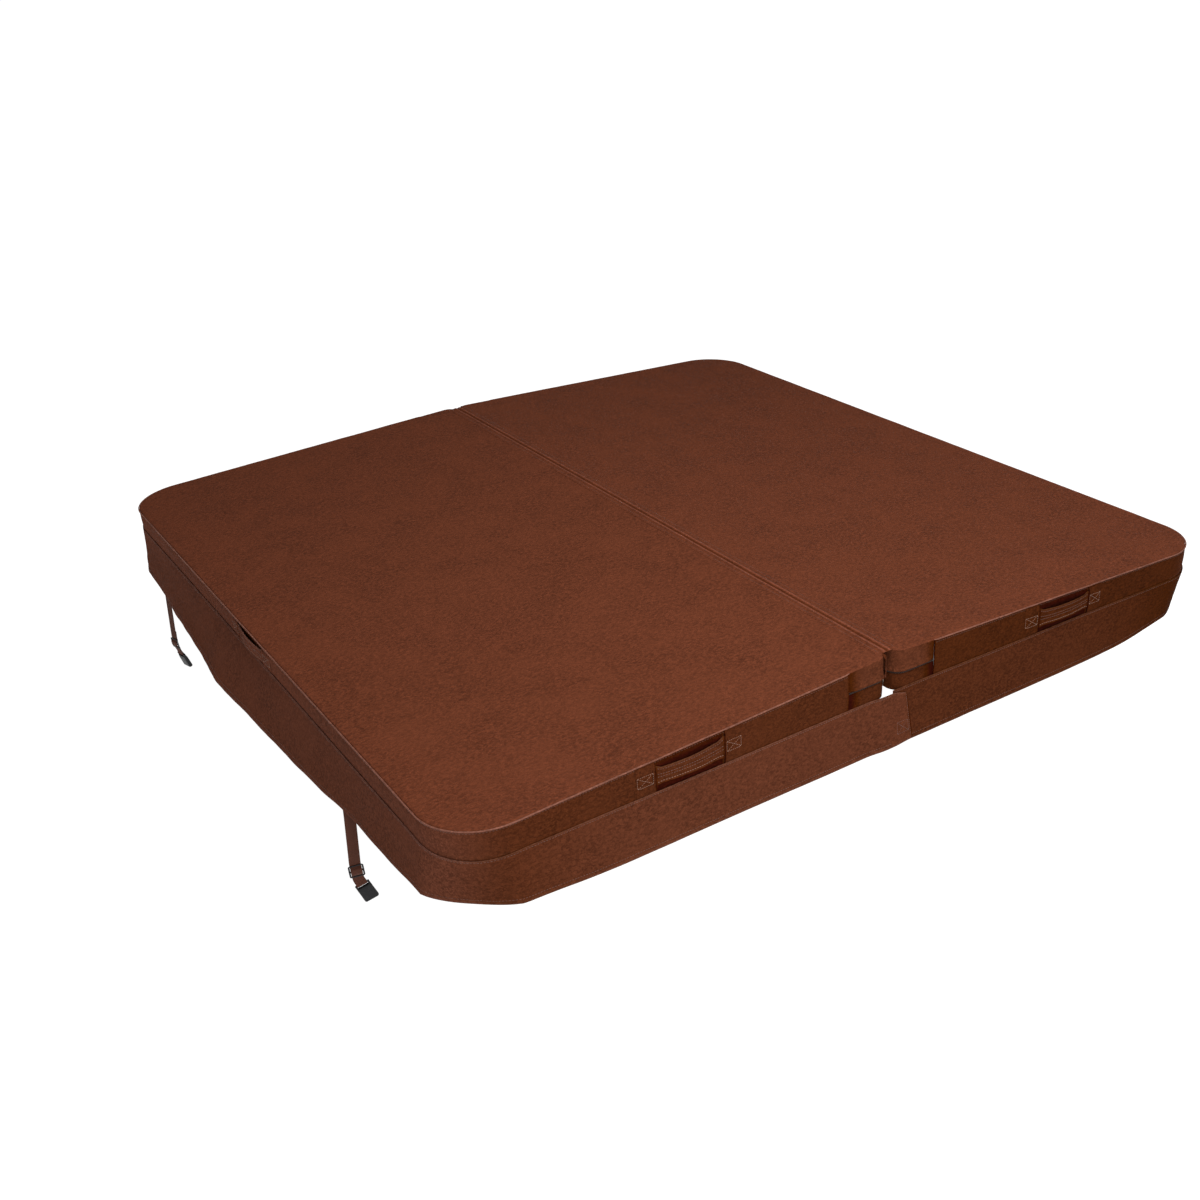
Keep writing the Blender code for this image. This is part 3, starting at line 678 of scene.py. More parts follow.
def walked(distance, place, heading, legs):
    """Point and outward normal a distance along straights and clockwise bends.

    Each leg is a length and the radius of its bend, 0 for a straight; the last leg has no end.
    """
    x, y = place
    for k, (length, radius) in enumerate(legs):
        final = distance <= length or k == len(legs) - 1
        step = distance if final else length
        if radius:
            turned = heading - step / radius
            x += radius * (math.sin(heading) - math.sin(turned))
            y += radius * (math.cos(turned) - math.cos(heading))
            heading = turned
        else:
            x += step * math.cos(heading)
            y += step * math.sin(heading)
        if final:
            return (x, y), (-math.sin(heading), math.cos(heading))
        distance -= length


def outer_at(s):
    """Point and outward normal of the outer seam, s from the fold's middle along the near end."""
    bend = (BEND, JACKET_R)
    return walked(s, (0.0, -FACE), math.pi, ((RUN, 0), bend, (2 * RUN, 0), bend, (RUN, 0)))


FOLD_RUN = SEAM_X - FOLD_GAP / 2 - FOLD_CORNER_R
FOLD_BEND = FOLD_CORNER_R * math.pi / 2
FOLD_FACE = 2 * (FACE - FOLD_CORNER_R)
FOLD_TOTAL = 2 * FOLD_RUN + 2 * FOLD_BEND + FOLD_FACE


def fold_at(t):
    """Point and outward normal of the fold-side seam, t from the far end's boxing to the near's."""
    bend = (FOLD_BEND, FOLD_CORNER_R)
    legs = ((FOLD_RUN, 0), bend, (FOLD_FACE, 0), bend, (FOLD_RUN, 0))
    return walked(t, (-SEAM_X, FACE), 0.0, legs)


def edge_distance(x, y):
    """How far a point of the left half lies inside its outline."""
    best = 1.0
    for dx, radius in ((x + FACE, JACKET_R), (-FOLD_GAP / 2 - x, FOLD_CORNER_R)):
        dy = FACE - abs(y)
        if dx < radius and dy < radius:
            best = min(best, radius - math.hypot(radius - dx, radius - dy))
        else:
            best = min(best, dx, dy)
    return max(best, 0.0)


def corner_inset(y, radius):
    """How far a rounded corner pulls the outline in at y."""
    dy = FACE - abs(y)
    if dy >= radius:
        return 0.0
    return radius - math.sqrt(radius ** 2 - (radius - dy) ** 2)


def spaced(low, high, step):
    return list(np.linspace(low, high, max(2, int(round((high - low) / step)) + 1)))


EDGE_STEPS = [0.0, 0.0004, 0.0012, 0.0022, 0.0035, 0.005, 0.008, 0.013, 0.020, 0.030]


# ---------------------------------------------------------------- top and bottom

def top_wave(x, y, seed):
    """Soft waves of the vinyl over the foam, and puckers along its sewn edge."""
    d = edge_distance(x, y)
    broad = 0.0008 * wavy(x, y, 0.30, seed) + 0.0005 * wavy(x, y, 0.11, seed + 5)
    pucker = 0.0005 * wavy(x, y, 0.022, seed + 9) * math.exp(-d / 0.014)
    return (broad + pucker) * smooth(d / 0.010)


def x_across(y, t):
    """x at a share t of the way from the outer edge to the fold edge."""
    outer = -FACE + corner_inset(y, JACKET_R)
    fold = -FOLD_GAP / 2 - corner_inset(y, FOLD_CORNER_R)
    return outer + (fold - outer) * t


def skin_place(seed):
    def place(y, t):
        x = x_across(y, t)
        d = edge_distance(x, y)
        roll = 0.0
        if d < SEAM_ROLL:
            roll = SEAM_ROLL - math.sqrt(SEAM_ROLL ** 2 - (SEAM_ROLL - d) ** 2)
        return x, y, top_z(x) - roll * 0.8 + top_wave(x, y, seed)
    return place


def skin_grid():
    """Rows across the panel, closer together near its edges."""
    corner = [0.0, 0.0003, 0.001, 0.002, 0.0035, 0.005, 0.008, 0.012, 0.018, 0.026, 0.036, 0.048,
              0.063, 0.080, 0.100, 0.124, 0.150]
    rows = [-FACE + d for d in corner] + spaced(-FACE + 0.18, FACE - 0.18, 0.024)
    rows += [FACE - d for d in reversed(corner)]
    width = FACE - FOLD_GAP / 2
    edge = [d / width for d in EDGE_STEPS]
    columns = edge + spaced(0.055 / width, 1 - 0.055 / width, 0.024 / width)
    columns += [1 - t for t in reversed(edge)]
    return rows, columns


def top_skin(half):
    rows, columns = skin_grid()
    cloth = Cloth(rows, columns, skin_place(SEEDS[half]))
    made = half_piece(half, "top_panel", cloth.mesh("top_panel", SKIN), "vinyl", "top_skin")


def bottom_skin(half):
    rows, columns = skin_grid()
    seed = SEEDS[half] + 71

    def place(y, t):
        x = x_across(y, 1 - t)
        d = edge_distance(x, y)
        wave = (0.0010 * wavy(x, y, 0.25, seed) - 0.0006) * smooth(d / 0.02)
        return x, y, wave

    cloth = Cloth(rows, columns, place)
    made = half_piece(half, "bottom_panel", cloth.mesh("bottom_panel", SKIN), "vinyl_underside",
                      "bottom_skin")


# ---------------------------------------------------------------- sides

def side_out(s, z, high, seed):
    """How far the boxing stands out from its CAD face."""
    if z < 0.010:
        return 0.0
    h = (z - 0.010) / (high - 0.010)
    bulge = 0.0013 * math.sin(math.pi * min(h, 1.0)) ** 0.8
    ripple = 0.0011 * wavy(s, z * 2.0, 0.12, seed) + 0.0005 * wavy(s, z * 1.5, 0.035, seed + 4)
    return max(bulge + ripple * math.sin(math.pi * min(h, 1.0)), -0.0006)


# painted light and shade of the side pieces, by which way they face
END_PAINTED_SHADE = {"skirt": {"left": -0.08, "right": -0.30}, "strip": {"left": -0.33, "right": -0.42}}
SIDE_PAINTED_LIGHT = 0.40
SAG_CORNER = ((1.0, 0.014), (1.2, 0.008), (2.0, 0.004))
SAG = {"left": ((0.0, 0.004), (0.5, 0.007), (0.88, 0.009), *SAG_CORNER),
       "right": ((0.0, 0.000), (0.5, 0.005), (0.88, 0.011), *SAG_CORNER)}
HEM_LIFTS = {"left": (0.0, 0.0), "right": (0.014, 0.016)}   # rise and draw-in of the near corner


def tone(part, half, nx, ny):
    """How much lighter or darker the vinyl of a side piece is painted than the top's, by the way it
    faces: painted light where it faces the sides, painted shade where it faces the ends.
    """
    return END_PAINTED_SHADE[part][half] * ny * ny + SIDE_PAINTED_LIGHT * nx * nx


def sag(half, s):
    """How far the skirt's seam hangs down along the outer seam, on the half's near end most."""
    run = s if half == "left" else OUTER - s
    points = SAG[half]
    for (a, low), (b, high) in zip(points, points[1:]):
        if run < b:
            return low + (high - low) * smooth((run - a) / (b - a))
    return points[-1][1]


def boxing_place(half):
    seed = SEEDS[half] + 3

    def place(s, h):
        (x, y), (nx, ny) = outer_at(s)
        high = top_z(x) - LINING
        low = LINING - sag(half, s)
        z = low + (high - low) * h
        end = min(s - SEAM_X, OUTER - SEAM_X - s)
        fold = 0.0009 * math.exp(-max(end, 0.0) / 0.006)
        out = side_out(s, z, high, seed) + fold
        if h > 0.93:
            out -= 0.0012 * ((h - 0.93) / 0.07) ** 2
        return x + nx * out, y + ny * out, z
    return place


def boxing_shade(half, s, z):
    """Painted shade: dark under the welt, over the skirt's seam, by the zip at the strip's ends and
    in the pockets behind the handles.
    """
    (x, _), (nx, ny) = outer_at(s)
    high = top_z(x)
    dark = 0.34 * math.exp(-(high - LINING - z) / 0.0022)
    dark += 0.22 * math.exp(-max(z - SKIRT_TOP + sag(half, s), 0.0) / 0.0018)
    dark += 0.70 * math.exp(-(min(s, OUTER - s) - SEAM_X) / 0.0018)
    for kind, centre in HANDLE_CENTRES.items():
        u = abs(s - centre)
        if u < HANDLE_LOOP / 2:
            low, top = handle_span(kind, x, 1.0)
            if z > (low + top) / 2:
                deep = 0.22 + 0.45 * math.exp(-max(z - top, 0.0) / 0.012)
            else:
                deep = 0.55
            dark += deep * smooth((HANDLE_LOOP / 2 - u) / 0.006)
    return max(tone("strip", half, nx, ny) - dark * (1 + tone("strip", half, nx, ny)), -0.9)


def boxing(half):
    seed = SEEDS[half] + 3
    us = sorted(set(spaced(SEAM_X + GAP, OUTER - SEAM_X - GAP, 0.0125)
                    + [SEAM_X + 0.0012, SEAM_X + 0.003, SEAM_X + 0.006]
                    + [OUTER - SEAM_X - step for step in (0.0012, 0.003, 0.006)]
                    + [centre + side * (HANDLE_LOOP / 2 + step)
                       for centre in HANDLE_CENTRES.values() for side in (-1, 1)
                       for step in (-0.006, -0.003, 0.0)]))
    vs = spaced(0.0, 0.09, 0.03) + spaced(0.12, 0.88, 0.04) + [0.91, 0.94, 0.97, 0.985, 1.0]
    cloth = Cloth(us, vs, boxing_place(half))
    # lighter in patches towards the top edge
    wear_and_highlight = np.array([[max(0.0, v - 0.86) * 3 * (0.5 + wavy(u, v, 0.08, seed)) for v in vs]
                     for u in us])
    shades = np.array([[boxing_shade(half, u, cloth.points[i, j, 2]) for j in range(len(vs))]
                       for i, u in enumerate(us)])
    mesh = cloth.mesh("side_strip", SKIN, wear_and_highlight=np.clip(wear_and_highlight, 0, 1) * 0.5, shade=shades)
    made = half_piece(half, "side_strip", mesh, "side_vinyl", "boxing")
    return cloth


def strip_rings(path, profile):
    """Rings along a path from a closed profile of (out, z), given as a function of (t, x)."""
    rings = []
    for t, ((x, y), (nx, ny)) in path:
        rings.append([(x + nx * out, y + ny * out, z) for out, z in profile(t, x)])
    return rings


def fold_stations():
    ends = spaced(0, FOLD_RUN, 0.008)
    bend = spaced(FOLD_RUN, FOLD_RUN + FOLD_BEND, 0.0035)
    face = spaced(FOLD_RUN + FOLD_BEND, FOLD_RUN + FOLD_BEND + FOLD_FACE, 0.020)
    first = ends[:-1] + bend[:-1]
    last = [FOLD_TOTAL - t for t in reversed(first)]
    return first + face + last


def zip_flap_profile(seed):
    """The upper band: it stands out towards its lower edge and turns under as a weather flap."""
    def profile(t, x):
        high = top_z(x) - LINING
        end = min(t, FOLD_TOTAL - t)
        open_ = smooth(end / 0.018)
        droop = 0.0010 * wavy(t, 0, 0.10, seed) * open_
        tip = ZIP_HIGH + 0.0008 + droop
        out = (0.0046 + 0.0006 * wavy(t, 3, 0.06, seed)) * open_
        middle = tip + (high - tip) * 0.45
        return [(-0.0012, high), (-0.0004, high), (0.0004 * open_, high - 0.004),
                (0.0009 * open_, middle + 0.010), (0.0011 * open_, middle),
                (0.0016 * open_, tip + 0.010), (out * 0.85, tip + 0.0048),
                (out, tip + 0.0018), (out - 0.0001, tip + 0.0004), (out - 0.0007, tip - 0.0002),
                (out - 0.0013, tip + 0.0006), (out * 0.85 - 0.0012, tip + 0.0040),
                (0.0016 * open_ - 0.0012, tip + 0.009), (0.0011 * open_ - 0.0012, middle)]
    return profile


def zip_lower_profile(seed):
    def profile(t, x):
        end = min(t, FOLD_TOTAL - t)
        open_ = smooth(end / 0.018)
        out = (0.0007 + 0.0006 * wavy(t, 1, 0.08, seed)) * open_
        return [(-0.0012, ZIP_LOW), (-0.0006, ZIP_LOW + 0.0002), (0.0001, ZIP_LOW - 0.0004),
                (0.0006 * open_, ZIP_LOW - 0.0016), (out * 0.7, 0.030), (out, 0.022),
                (out * 0.8, 0.012), (out * 0.3, 0.005), (0.0, LINING), (-0.0012, LINING),
                (out * 0.3 - 0.0012, 0.005), (out * 0.8 - 0.0012, 0.012), (out - 0.0012, 0.022),
                (out * 0.7 - 0.0012, 0.030)]
    return profile


def shaded_band(mesh, base):
    """The band's painted shade: an even darkening by base, and darker still where the band goes
    into the shade of the boxing's ends.
    """
    ends = [Vector(fold_at(t)[0]) for t in (0.0, FOLD_TOTAL)]
    marks = mesh.attributes.new("shade", "FLOAT", "POINT")
    for vertex, mark in zip(mesh.vertices, marks.data):
        away = min((vertex.co.xy - end).length for end in ends)
        mark.value = base - 0.40 * math.exp(-(away / 0.022) ** 2)
    return mesh


def zip_bands(half):
    path = [(t, fold_at(t)) for t in fold_stations()]
    seed = SEEDS[half] + 21
    # painted shade: each band darkened by its base, the lower band most
    for name, profile, base, node, height in (
            ("zip_flap", zip_flap_profile(seed), -0.14, "zip_band_upper", 0.060),
            ("zip_hem", zip_lower_profile(seed + 5), -0.36, "zip_band_lower", 0.042)):
        mesh = shaded_band(loft(name, strip_rings(path, profile), sharp=50), base)
        made = half_piece(half, name, mesh, "side_vinyl", node)


def zip_tape(half):
    """The tape between the bands, and the closed coil along its middle."""
    path = [(t, fold_at(t)) for t in fold_stations()]
    low, high = ZIP_LOW + GAP, ZIP_HIGH - GAP

    def profile(t, x):
        return [(-0.0012, high), (-0.0004, high), (-0.0004, low), (-0.0012, low)]

    half_piece(half, "zip_tape", loft("zip_tape", strip_rings(path, profile)), "zip_tape",
               "zip_chain")
    starts, ends, normals = [], [], []
    count = int(FOLD_TOTAL / 0.0030)
    for k in range(count):
        (x, y), (nx, ny) = fold_at(FOLD_TOTAL * (k + 0.5) / count)
        lean = 0.0005 if k % 2 else -0.0005
        out = -0.00035
        starts.append((x + nx * out, y + ny * out, SLIDER_Z - 0.0017 + lean))
        ends.append((x + nx * out, y + ny * out, SLIDER_Z + 0.0017 + lean))
        normals.append((nx, ny, 0))
    coil = stitch_mesh("zip_coil", starts, ends, normals, 0.0008)
    half_piece(half, "zip_coil", coil, "zip_coil")


def piping(half):
    """The welt over the top seam, tucked in at both ends."""
    rings = []
    low, high = SEAM_X - 0.001, OUTER - SEAM_X + 0.001
    seed = SEEDS[half] + 55
    for s in spaced(low, high, 0.010):
        (x, y), (nx, ny) = outer_at(s)
        tuck = 1 - smooth(min(s - low, high - s) / 0.012)
        radius = PIPE_R * (0.85 + 0.10 * wavy(s, 0, 0.03, seed)) * (1 - 0.5 * tuck)
        out = PIPE_OUT - 0.0005 + 0.0004 * wavy(s, 4, 0.07, seed) - 0.0022 * tuck
        z = top_z(x) - PIPE_DROP + 0.0006 + 0.0004 * wavy(s, 8, 0.09, seed)
        ring = []
        for i in range(12):
            a = -math.tau * i / 12
            reach = out + radius * math.cos(a)
            ring.append((x + nx * reach, y + ny * reach, z + radius * math.sin(a)))
        rings.append(ring)
    half_piece(half, "welt", loft("welt", rings), "piping", "piping")


# ---------------------------------------------------------------- skirt

def skirt_out(x, y, nx, ny, z):
    """How far the skirt's inner face stands out, as in the CAD model."""
    swing = 0.5 + 0.5 * math.cos(math.pi * min(abs(y - SIDE_FLARE_MIDDLE) / 0.95, 1.0))
    side = SIDE_FLARE_BASE + SIDE_FLARE * swing
    corner = 2 * abs(nx * ny)
    flare = END_FLARE * ny * ny + side * nx * nx - (NEAR_TUCK if y < 0 else FAR_TUCK) * corner
    lift = FLAP_LIFT * smooth((x + LIFT_END + LIFT_RAMP) / LIFT_RAMP) if ny < 0 else 0.0
    drop = (SKIRT_TOP - z) / (SKIRT_TOP + SKIRT_DROP)
    return GAP + lift + CORNER_STAND * corner + flare * drop


def skirt_wave(s, depth, seed, near_flap):
    """Soft folds that grow towards the hem, in or out of the CAD sheet."""
    folds = 0.0062 * wavy(s, depth * 0.5, 0.26, seed)
    folds += 0.0022 * wavy(s, depth * 0.7, 0.09, seed + 2)
    dents = 0.0010 * wavy(s, depth * 2.0, 0.05, seed + 7)
    return (folds * depth ** 1.2 + dents * smooth(depth * 3)) * near_flap


def skirt_place(half):
    seed = SEEDS[half] + 101

    def place(s, h):
        """s along the seam, from the flap's end; h from the hem, 0, to the top edge, 1."""
        depth = 1 - h
        if s < 0:
            reach = FLAP_END_TOP + (FLAP_END_HEM - FLAP_END_TOP) * depth
            (x, y), (nx, ny) = (s / FLAP_S * reach, -FACE), (0.0, -1.0)
        else:
            (x, y), (nx, ny) = outer_at(s)
        high = SKIRT_TOP - sag(half, max(s, 0.0)) - FLAP_DROOP * smooth(s / FLAP_S) * (s < 0)
        bend = RUN + BEND / 2
        near = (s if half == "left" else OUTER - s) - bend
        rise, draw = HEM_LIFTS[half]
        hem = -SKIRT_DROP + CORNER_RISE * 1.1 * math.exp(-((s - bend) / 0.22) ** 4)
        hem += CORNER_RISE * 1.1 * math.exp(-((OUTER - s - bend) / 0.22) ** 4)
        hem += rise * math.exp(-(near / 0.26) ** 2)
        hem += 0.004 * smooth(s / FLAP_S) * (s < 0)
        z = high + (hem - high) * depth
        quiet = smooth((s + 0.02) / 0.20) * smooth((OUTER - s) / 0.20)
        calm = 0.30 + 0.70 * nx * nx
        level = SKIRT_TOP - (SKIRT_TOP + SKIRT_DROP) * depth
        out = skirt_out(x, y, nx, ny, level) + SKIRT_T
        out += skirt_wave(s, depth, seed, (0.15 + 0.85 * quiet) * calm)
        out += 0.007 * math.exp(-((y - 0.16) / 0.16) ** 2) * depth ** 1.5 * nx * nx
        out -= draw * math.exp(-(near / 0.15) ** 2) * depth
        lift = 0.0028 * wavy(s, 5, 0.18, seed + 11) * depth * quiet * calm
        return x + nx * out, y + ny * out, z + lift
    return place


def skirt(half):
    us = spaced(FLAP_S, -0.001, 0.005) + spaced(0.004, OUTER - TUCK_X, 0.014)
    vs = [0.0, 0.004, 0.012, 0.03, 0.06, 0.10, *spaced(0.16, 0.80, 0.08), 0.87, 0.92, 0.955,
          0.98, 0.993, 1.0]
    cloth = Cloth(us, vs, skirt_place(half))
    hem = np.array([[1.0 if v < 0.10 else 0.0 for v in vs] for _ in us])
    # lighter along the hem, and a painted highlight along the top edge where it catches the light
    wear_and_highlight = np.array([[max(0.0, 0.05 - v) * 8 + max(0.0, v - 0.97) * 22 for v in vs] for _ in us])
    # painted light and shade: the facing tone, a painted shadow at the flap's end, painted shade
    # round the outer corners, and darker towards the hem on the sides
    shades = []
    for u in us:
        nx, ny = outer_at(max(u, 0.0))[1]
        edge = -0.60 * math.exp(-(u - FLAP_S) / 0.0025)
        corner = min(abs(u - RUN - BEND / 2), abs(OUTER - u - RUN - BEND / 2))
        edge -= 0.22 * math.exp(-(corner / 0.25) ** 2) * (1 - nx * nx)
        shades.append([tone("skirt", half, nx, ny) + edge - 0.15 * (1 - v) * nx * nx for v in vs])
    mesh = cloth.mesh("skirt", SKIRT_T * (1 + 0.55 * hem), wear_and_highlight=np.clip(wear_and_highlight, 0, 1), shade=shades)
    made = half_piece(half, "hanging_skirt", mesh, "side_vinyl", "skirt")
    return cloth


def flap_patches(half):
    """Hook tape inside this half's flap, and loop tape outside the end under the other flap."""
    for kind, end, lift in (("hook", -1.0, -GAP), ("loop", 1.0, SKIRT_T + GAP + 0.0010)):
        def place(u, z, end=end, lift=lift):
            out = skirt_out(end * u, end * FACE, 0.0, end, z) + lift
            return end * u, end * (FACE + out), z

        cloth = Cloth(spaced(-PATCH_X[1], -PATCH_X[0], 0.003), spaced(*PATCH_Z, 0.004), place)
        half_piece(half, f"{kind}_tape", cloth.mesh(f"{kind}_tape", 0.0010), "hook_and_loop",
                   f"flap_{kind}")


# ---------------------------------------------------------------- hinge web

def hinge_place(y, x):
    """The web's upper face, thinned to its edges, with its seam ridges and the valley."""
    z = top_z(x) + GAP + LEAF_T
    edge = smooth((LEAF_WIDTH - abs(x)) / 0.010)
    z -= (1 - edge) * LEAF_T * 0.85
    seam = math.exp(-((abs(x) - HINGE_SEAM_X) / 0.0016) ** 2)
    valley = math.exp(-(x / 0.0035) ** 2)
    z += seam * 0.0011 * (0.8 + 0.5 * wavy(y, 0, 0.05, 3)) - valley * 0.0012
    z += 0.0004 * wavy(x * 3, y, 0.06, 8.0) * edge
    z -= 0.0016 * math.exp(-(LEAF_HALF - abs(y)) / 0.004)
    return x, y, z


def hinge_shade(y, x):
    """Painted highlights on the ridges over the seams, with painted shade in the valley and outside
    them.
    """
    ridge_highlight = math.exp(-((abs(x) - HINGE_SEAM_X) / 0.0021) ** 2)
    outside = math.exp(-((abs(x) - HINGE_SEAM_X - 0.0048) / 0.0022) ** 2)
    valley = math.exp(-(x / 0.0032) ** 2)
    return ridge_highlight * (0.62 + 0.22 * wavy(y, 0, 0.05, 3)) - 0.42 * valley - 0.16 * outside


def hinge():
    """One web over both halves: a folded strip with two raised seams and a valley between."""
    ys = spaced(-LEAF_HALF, LEAF_HALF, 0.012)
    ys = [-LEAF_HALF, -LEAF_HALF + 0.002, -LEAF_HALF + 0.005] + ys[1:-1]
    ys += [LEAF_HALF - 0.005, LEAF_HALF - 0.002, LEAF_HALF]
    ys = sorted(set(round(y, 5) for y in ys))
    half = [0.0, 0.0012, 0.0024, 0.0038, 0.005, 0.0058, 0.0064, 0.007, 0.0076, 0.0082, 0.009,
            0.0105, 0.013, 0.017, 0.021, 0.0245, 0.0268, 0.028]
    xs = [-x for x in reversed(half[1:])] + half
    cloth = Cloth(ys, xs, hinge_place)
    thick = np.array([[max(0.0003, LEAF_T * smooth((LEAF_WIDTH - abs(x)) / 0.008)) for x in xs]
                      for _ in ys])
    mesh = cloth.mesh("hinge_web", thick, shade=[[hinge_shade(y, x) for x in xs] for y in ys])
    made = add_piece("hinge_web", mesh, "vinyl", nodes=["left_hinge_leaf", "right_hinge_leaf"])
    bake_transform(made)
    for name, side in (("left", -1), ("right", 1)):
        seam = Seam(0.0004)
        for x in (HINGE_SEAM_X + 0.0028, LEAF_WIDTH - 0.006):
            # folded flat, one side's rows lie beside the other's
            at = side * x + 0.0010
            seam.row(cloth, (-LEAF_HALF + 0.006, at), (LEAF_HALF - 0.006, at))
        add_piece(f"{name}_hinge_stitching", seam.mesh("hinge_stitching"), "dark_thread",
                  f"{name}_panel")


def hinge_tail(half):
    """The web's end, turned down over the fold corner of the half and left ragged."""
    start = FOLD_TOTAL - FOLD_RUN - FOLD_BEND * 0.72
    seed = SEEDS[half] + 61

    def place(t, h):
        (x, y), (nx, ny) = fold_at(t)
        edge = (t - start) / 0.013
        z = top_z(x) + 0.0008 - 0.056 * h * (1 + 0.10 * wavy(t, 0, 0.004, seed))
        out = 0.0020 + 0.0042 * smooth(h * 5) + 0.0018 * wavy(t * 3, h * 0.06, 0.012, seed)
        out += 0.0016 * math.sin(math.pi * edge) - 0.0030 * (1 - smooth(h * 8))
        return x + nx * out, y + ny * out, z

    cloth = Cloth(spaced(start, start + 0.013, 0.0013), list(np.linspace(1, 0, 25)), place)
    # painted shade over the whole turned-down end
    mesh = cloth.mesh("hinge_tail", 0.0010, shade=-0.35)
    made = half_piece(half, "hinge_tail", mesh, "vinyl")


# ---------------------------------------------------------------- handles

HANDLE_CENTRES = {"near": END_HANDLE_X, "far": OUTER - END_HANDLE_X, "side": OUTER / 2}


def handle_span(kind, x, lip):
    """Foot and head of a handle: of its sewn ends, and with lip 1 of its loop."""
    loop = SIDE_LOOP if kind == "side" else END_LOOP
    low = HANDLE_LOW + (loop[0] - HANDLE_LOW) * lip
    return low, top_z(x) - HANDLE_BELOW - (loop[1] - HANDLE_BELOW) * lip


def handle(half, kind):
    """The strap and its two sewn ends, with their bright and their plain stitching."""
    centre = HANDLE_CENTRES[kind]
    seed = SEEDS[half] + {"near": 1, "far": 2, "side": 3}[kind]
    half_loop = HANDLE_LOOP / 2

    def base_out(s, z):
        (x, _), _ = outer_at(s)
        return max(side_out(s, z, top_z(x) - LINING, SEEDS[half] + 3), 0.0)

    def loop_place(u, v):
        s = centre + u
        (x, y), (nx, ny) = outer_at(s)
        rise = math.sin(math.pi * min(max(u / HANDLE_LOOP + 0.5, 0.0), 1.0))
        low, high = handle_span(kind, x, 0.55 + 0.45 * smooth(rise * 3))
        high -= 0.0035 * rise
        z = low + (high - low) * v
        sway = 0.0010 * wavy(u, v * 0.03, 0.05, seed)
        out = GAP + HANDLE_T + (HANDLE_BULGE * 0.65 + sway + (0.5 - v) * 0.003) * rise
        out += 0.0005 * math.sin(math.pi * v) + base_out(s, z) * (1 - smooth(rise * 2.5))
        return x + nx * out, y + ny * out, z

    us = spaced(-half_loop - 0.006, half_loop + 0.006, 0.0045)
    vs = [0.0, 0.02, 0.06, 0.12, 0.25, 0.4, 0.5, 0.6, 0.75, 0.88, 0.94, 0.98, 1.0]
    cloth = Cloth(us, vs, loop_place)
    (nx, ny) = outer_at(centre)[1]
    base = tone("strip", half, nx, ny)
    # painted shade: darker where the strap goes under its patches and along its lower edge, over
    # the strip's painted facing light
    shades = [[base + 0.03 - 0.55 * math.exp(-max(half_loop - abs(u), 0.0) / 0.003) - 0.35
               * math.exp(-v / 0.03) for v in vs] for u in us]
    # lighter along the strap's top edge
    wear_and_highlight = [[max(0.0, v - 0.90) * 6 for v in vs] for _ in us]
    mesh = cloth.mesh("handle_strap", HANDLE_T, wear_and_highlight=wear_and_highlight, shade=np.maximum(shades, -0.85))
    half_piece(half, f"handle_{kind}_strap", mesh, "side_vinyl", f"handle_{kind}")
    bright, plain = Seam(0.00055), Seam(0.00045)
    bright.row(cloth, (-half_loop + 0.004, 0.16), (half_loop - 0.004, 0.16), 0.0058)
    for v in (0.44, 0.60, 0.88):
        plain.row(cloth, (-half_loop + 0.004, v), (half_loop - 0.004, v), 0.0058)
    for side in (-1, 1):
        handle_end(half, kind, side, base_out, base, bright)
    half_piece(half, f"handle_{kind}_stitching", bright.mesh("handle_stitching"), "thread")
    half_piece(half, f"handle_{kind}_plain_stitching", plain.mesh("plain_stitching"),
               "dark_thread")


def handle_end(half, kind, side, base_out, base, seam):
    """One sewn end: a flat patch over the strap's end, with its crossed box of stitches."""
    centre = HANDLE_CENTRES[kind]
    half_loop = HANDLE_LOOP / 2
    ends = sorted((side * (half_loop - 0.001), side * (half_loop + HANDLE_PATCH)))

    def place(u, v):
        s = centre + u
        (x, y), (nx, ny) = outer_at(s)
        low = SKIRT_TOP - sag(half, s) + 0.001
        high = top_z(x) - LINING - 0.0035
        z = low + (high - low) * v
        inner = abs(u) - half_loop
        over = smooth((HANDLE_PATCH - inner) / 0.010) * smooth((z - low) / 0.006)
        over *= smooth((high - z) / 0.010)
        out = 0.0003 + 0.0004 + base_out(s, z) + HANDLE_T * 0.9 * over
        out += 0.0016 * math.exp(-((inner - 0.0015) / 0.002) ** 2)
        return x + nx * out, y + ny * out, z

    us = spaced(ends[0], ends[1], 0.0011)
    patch = Cloth(us, spaced(0.0, 1.0, 0.03), place)
    # painted shadow: a thin dark line along the patch's inner edge, beside the strap, over the
    # strip's painted facing light
    shades = []
    for u in us:
        inner = abs(u) - half_loop + 0.001
        shades.append([base - 0.62 * math.exp(-(inner / 0.0016) ** 2)] * len(patch.vs))
    mesh = patch.mesh("handle_patch", 0.0007, shade=np.array(shades))
    half_piece(half, f"handle_{kind}_patch_{'a' if side < 0 else 'b'}", mesh, "side_vinyl")
    middle = side * (half_loop + HANDLE_PATCH / 2 + 0.001)
    (x, _), _ = outer_at(centre + middle)
    low = SKIRT_TOP - sag(half, centre + middle) + 0.001
    high = top_z(x) - LINING - 0.0035
    loop_low, loop_high = handle_span(kind, x, 1.0)
    level = (loop_low + loop_high) / 2
    reach = 0.012 if kind != "side" else 0.010
    seam.crossed_box(patch, (middle - 0.018, middle + 0.018), (low, high),
                     (level - reach, level + reach))


# ---------------------------------------------------------------- what is in the jacket

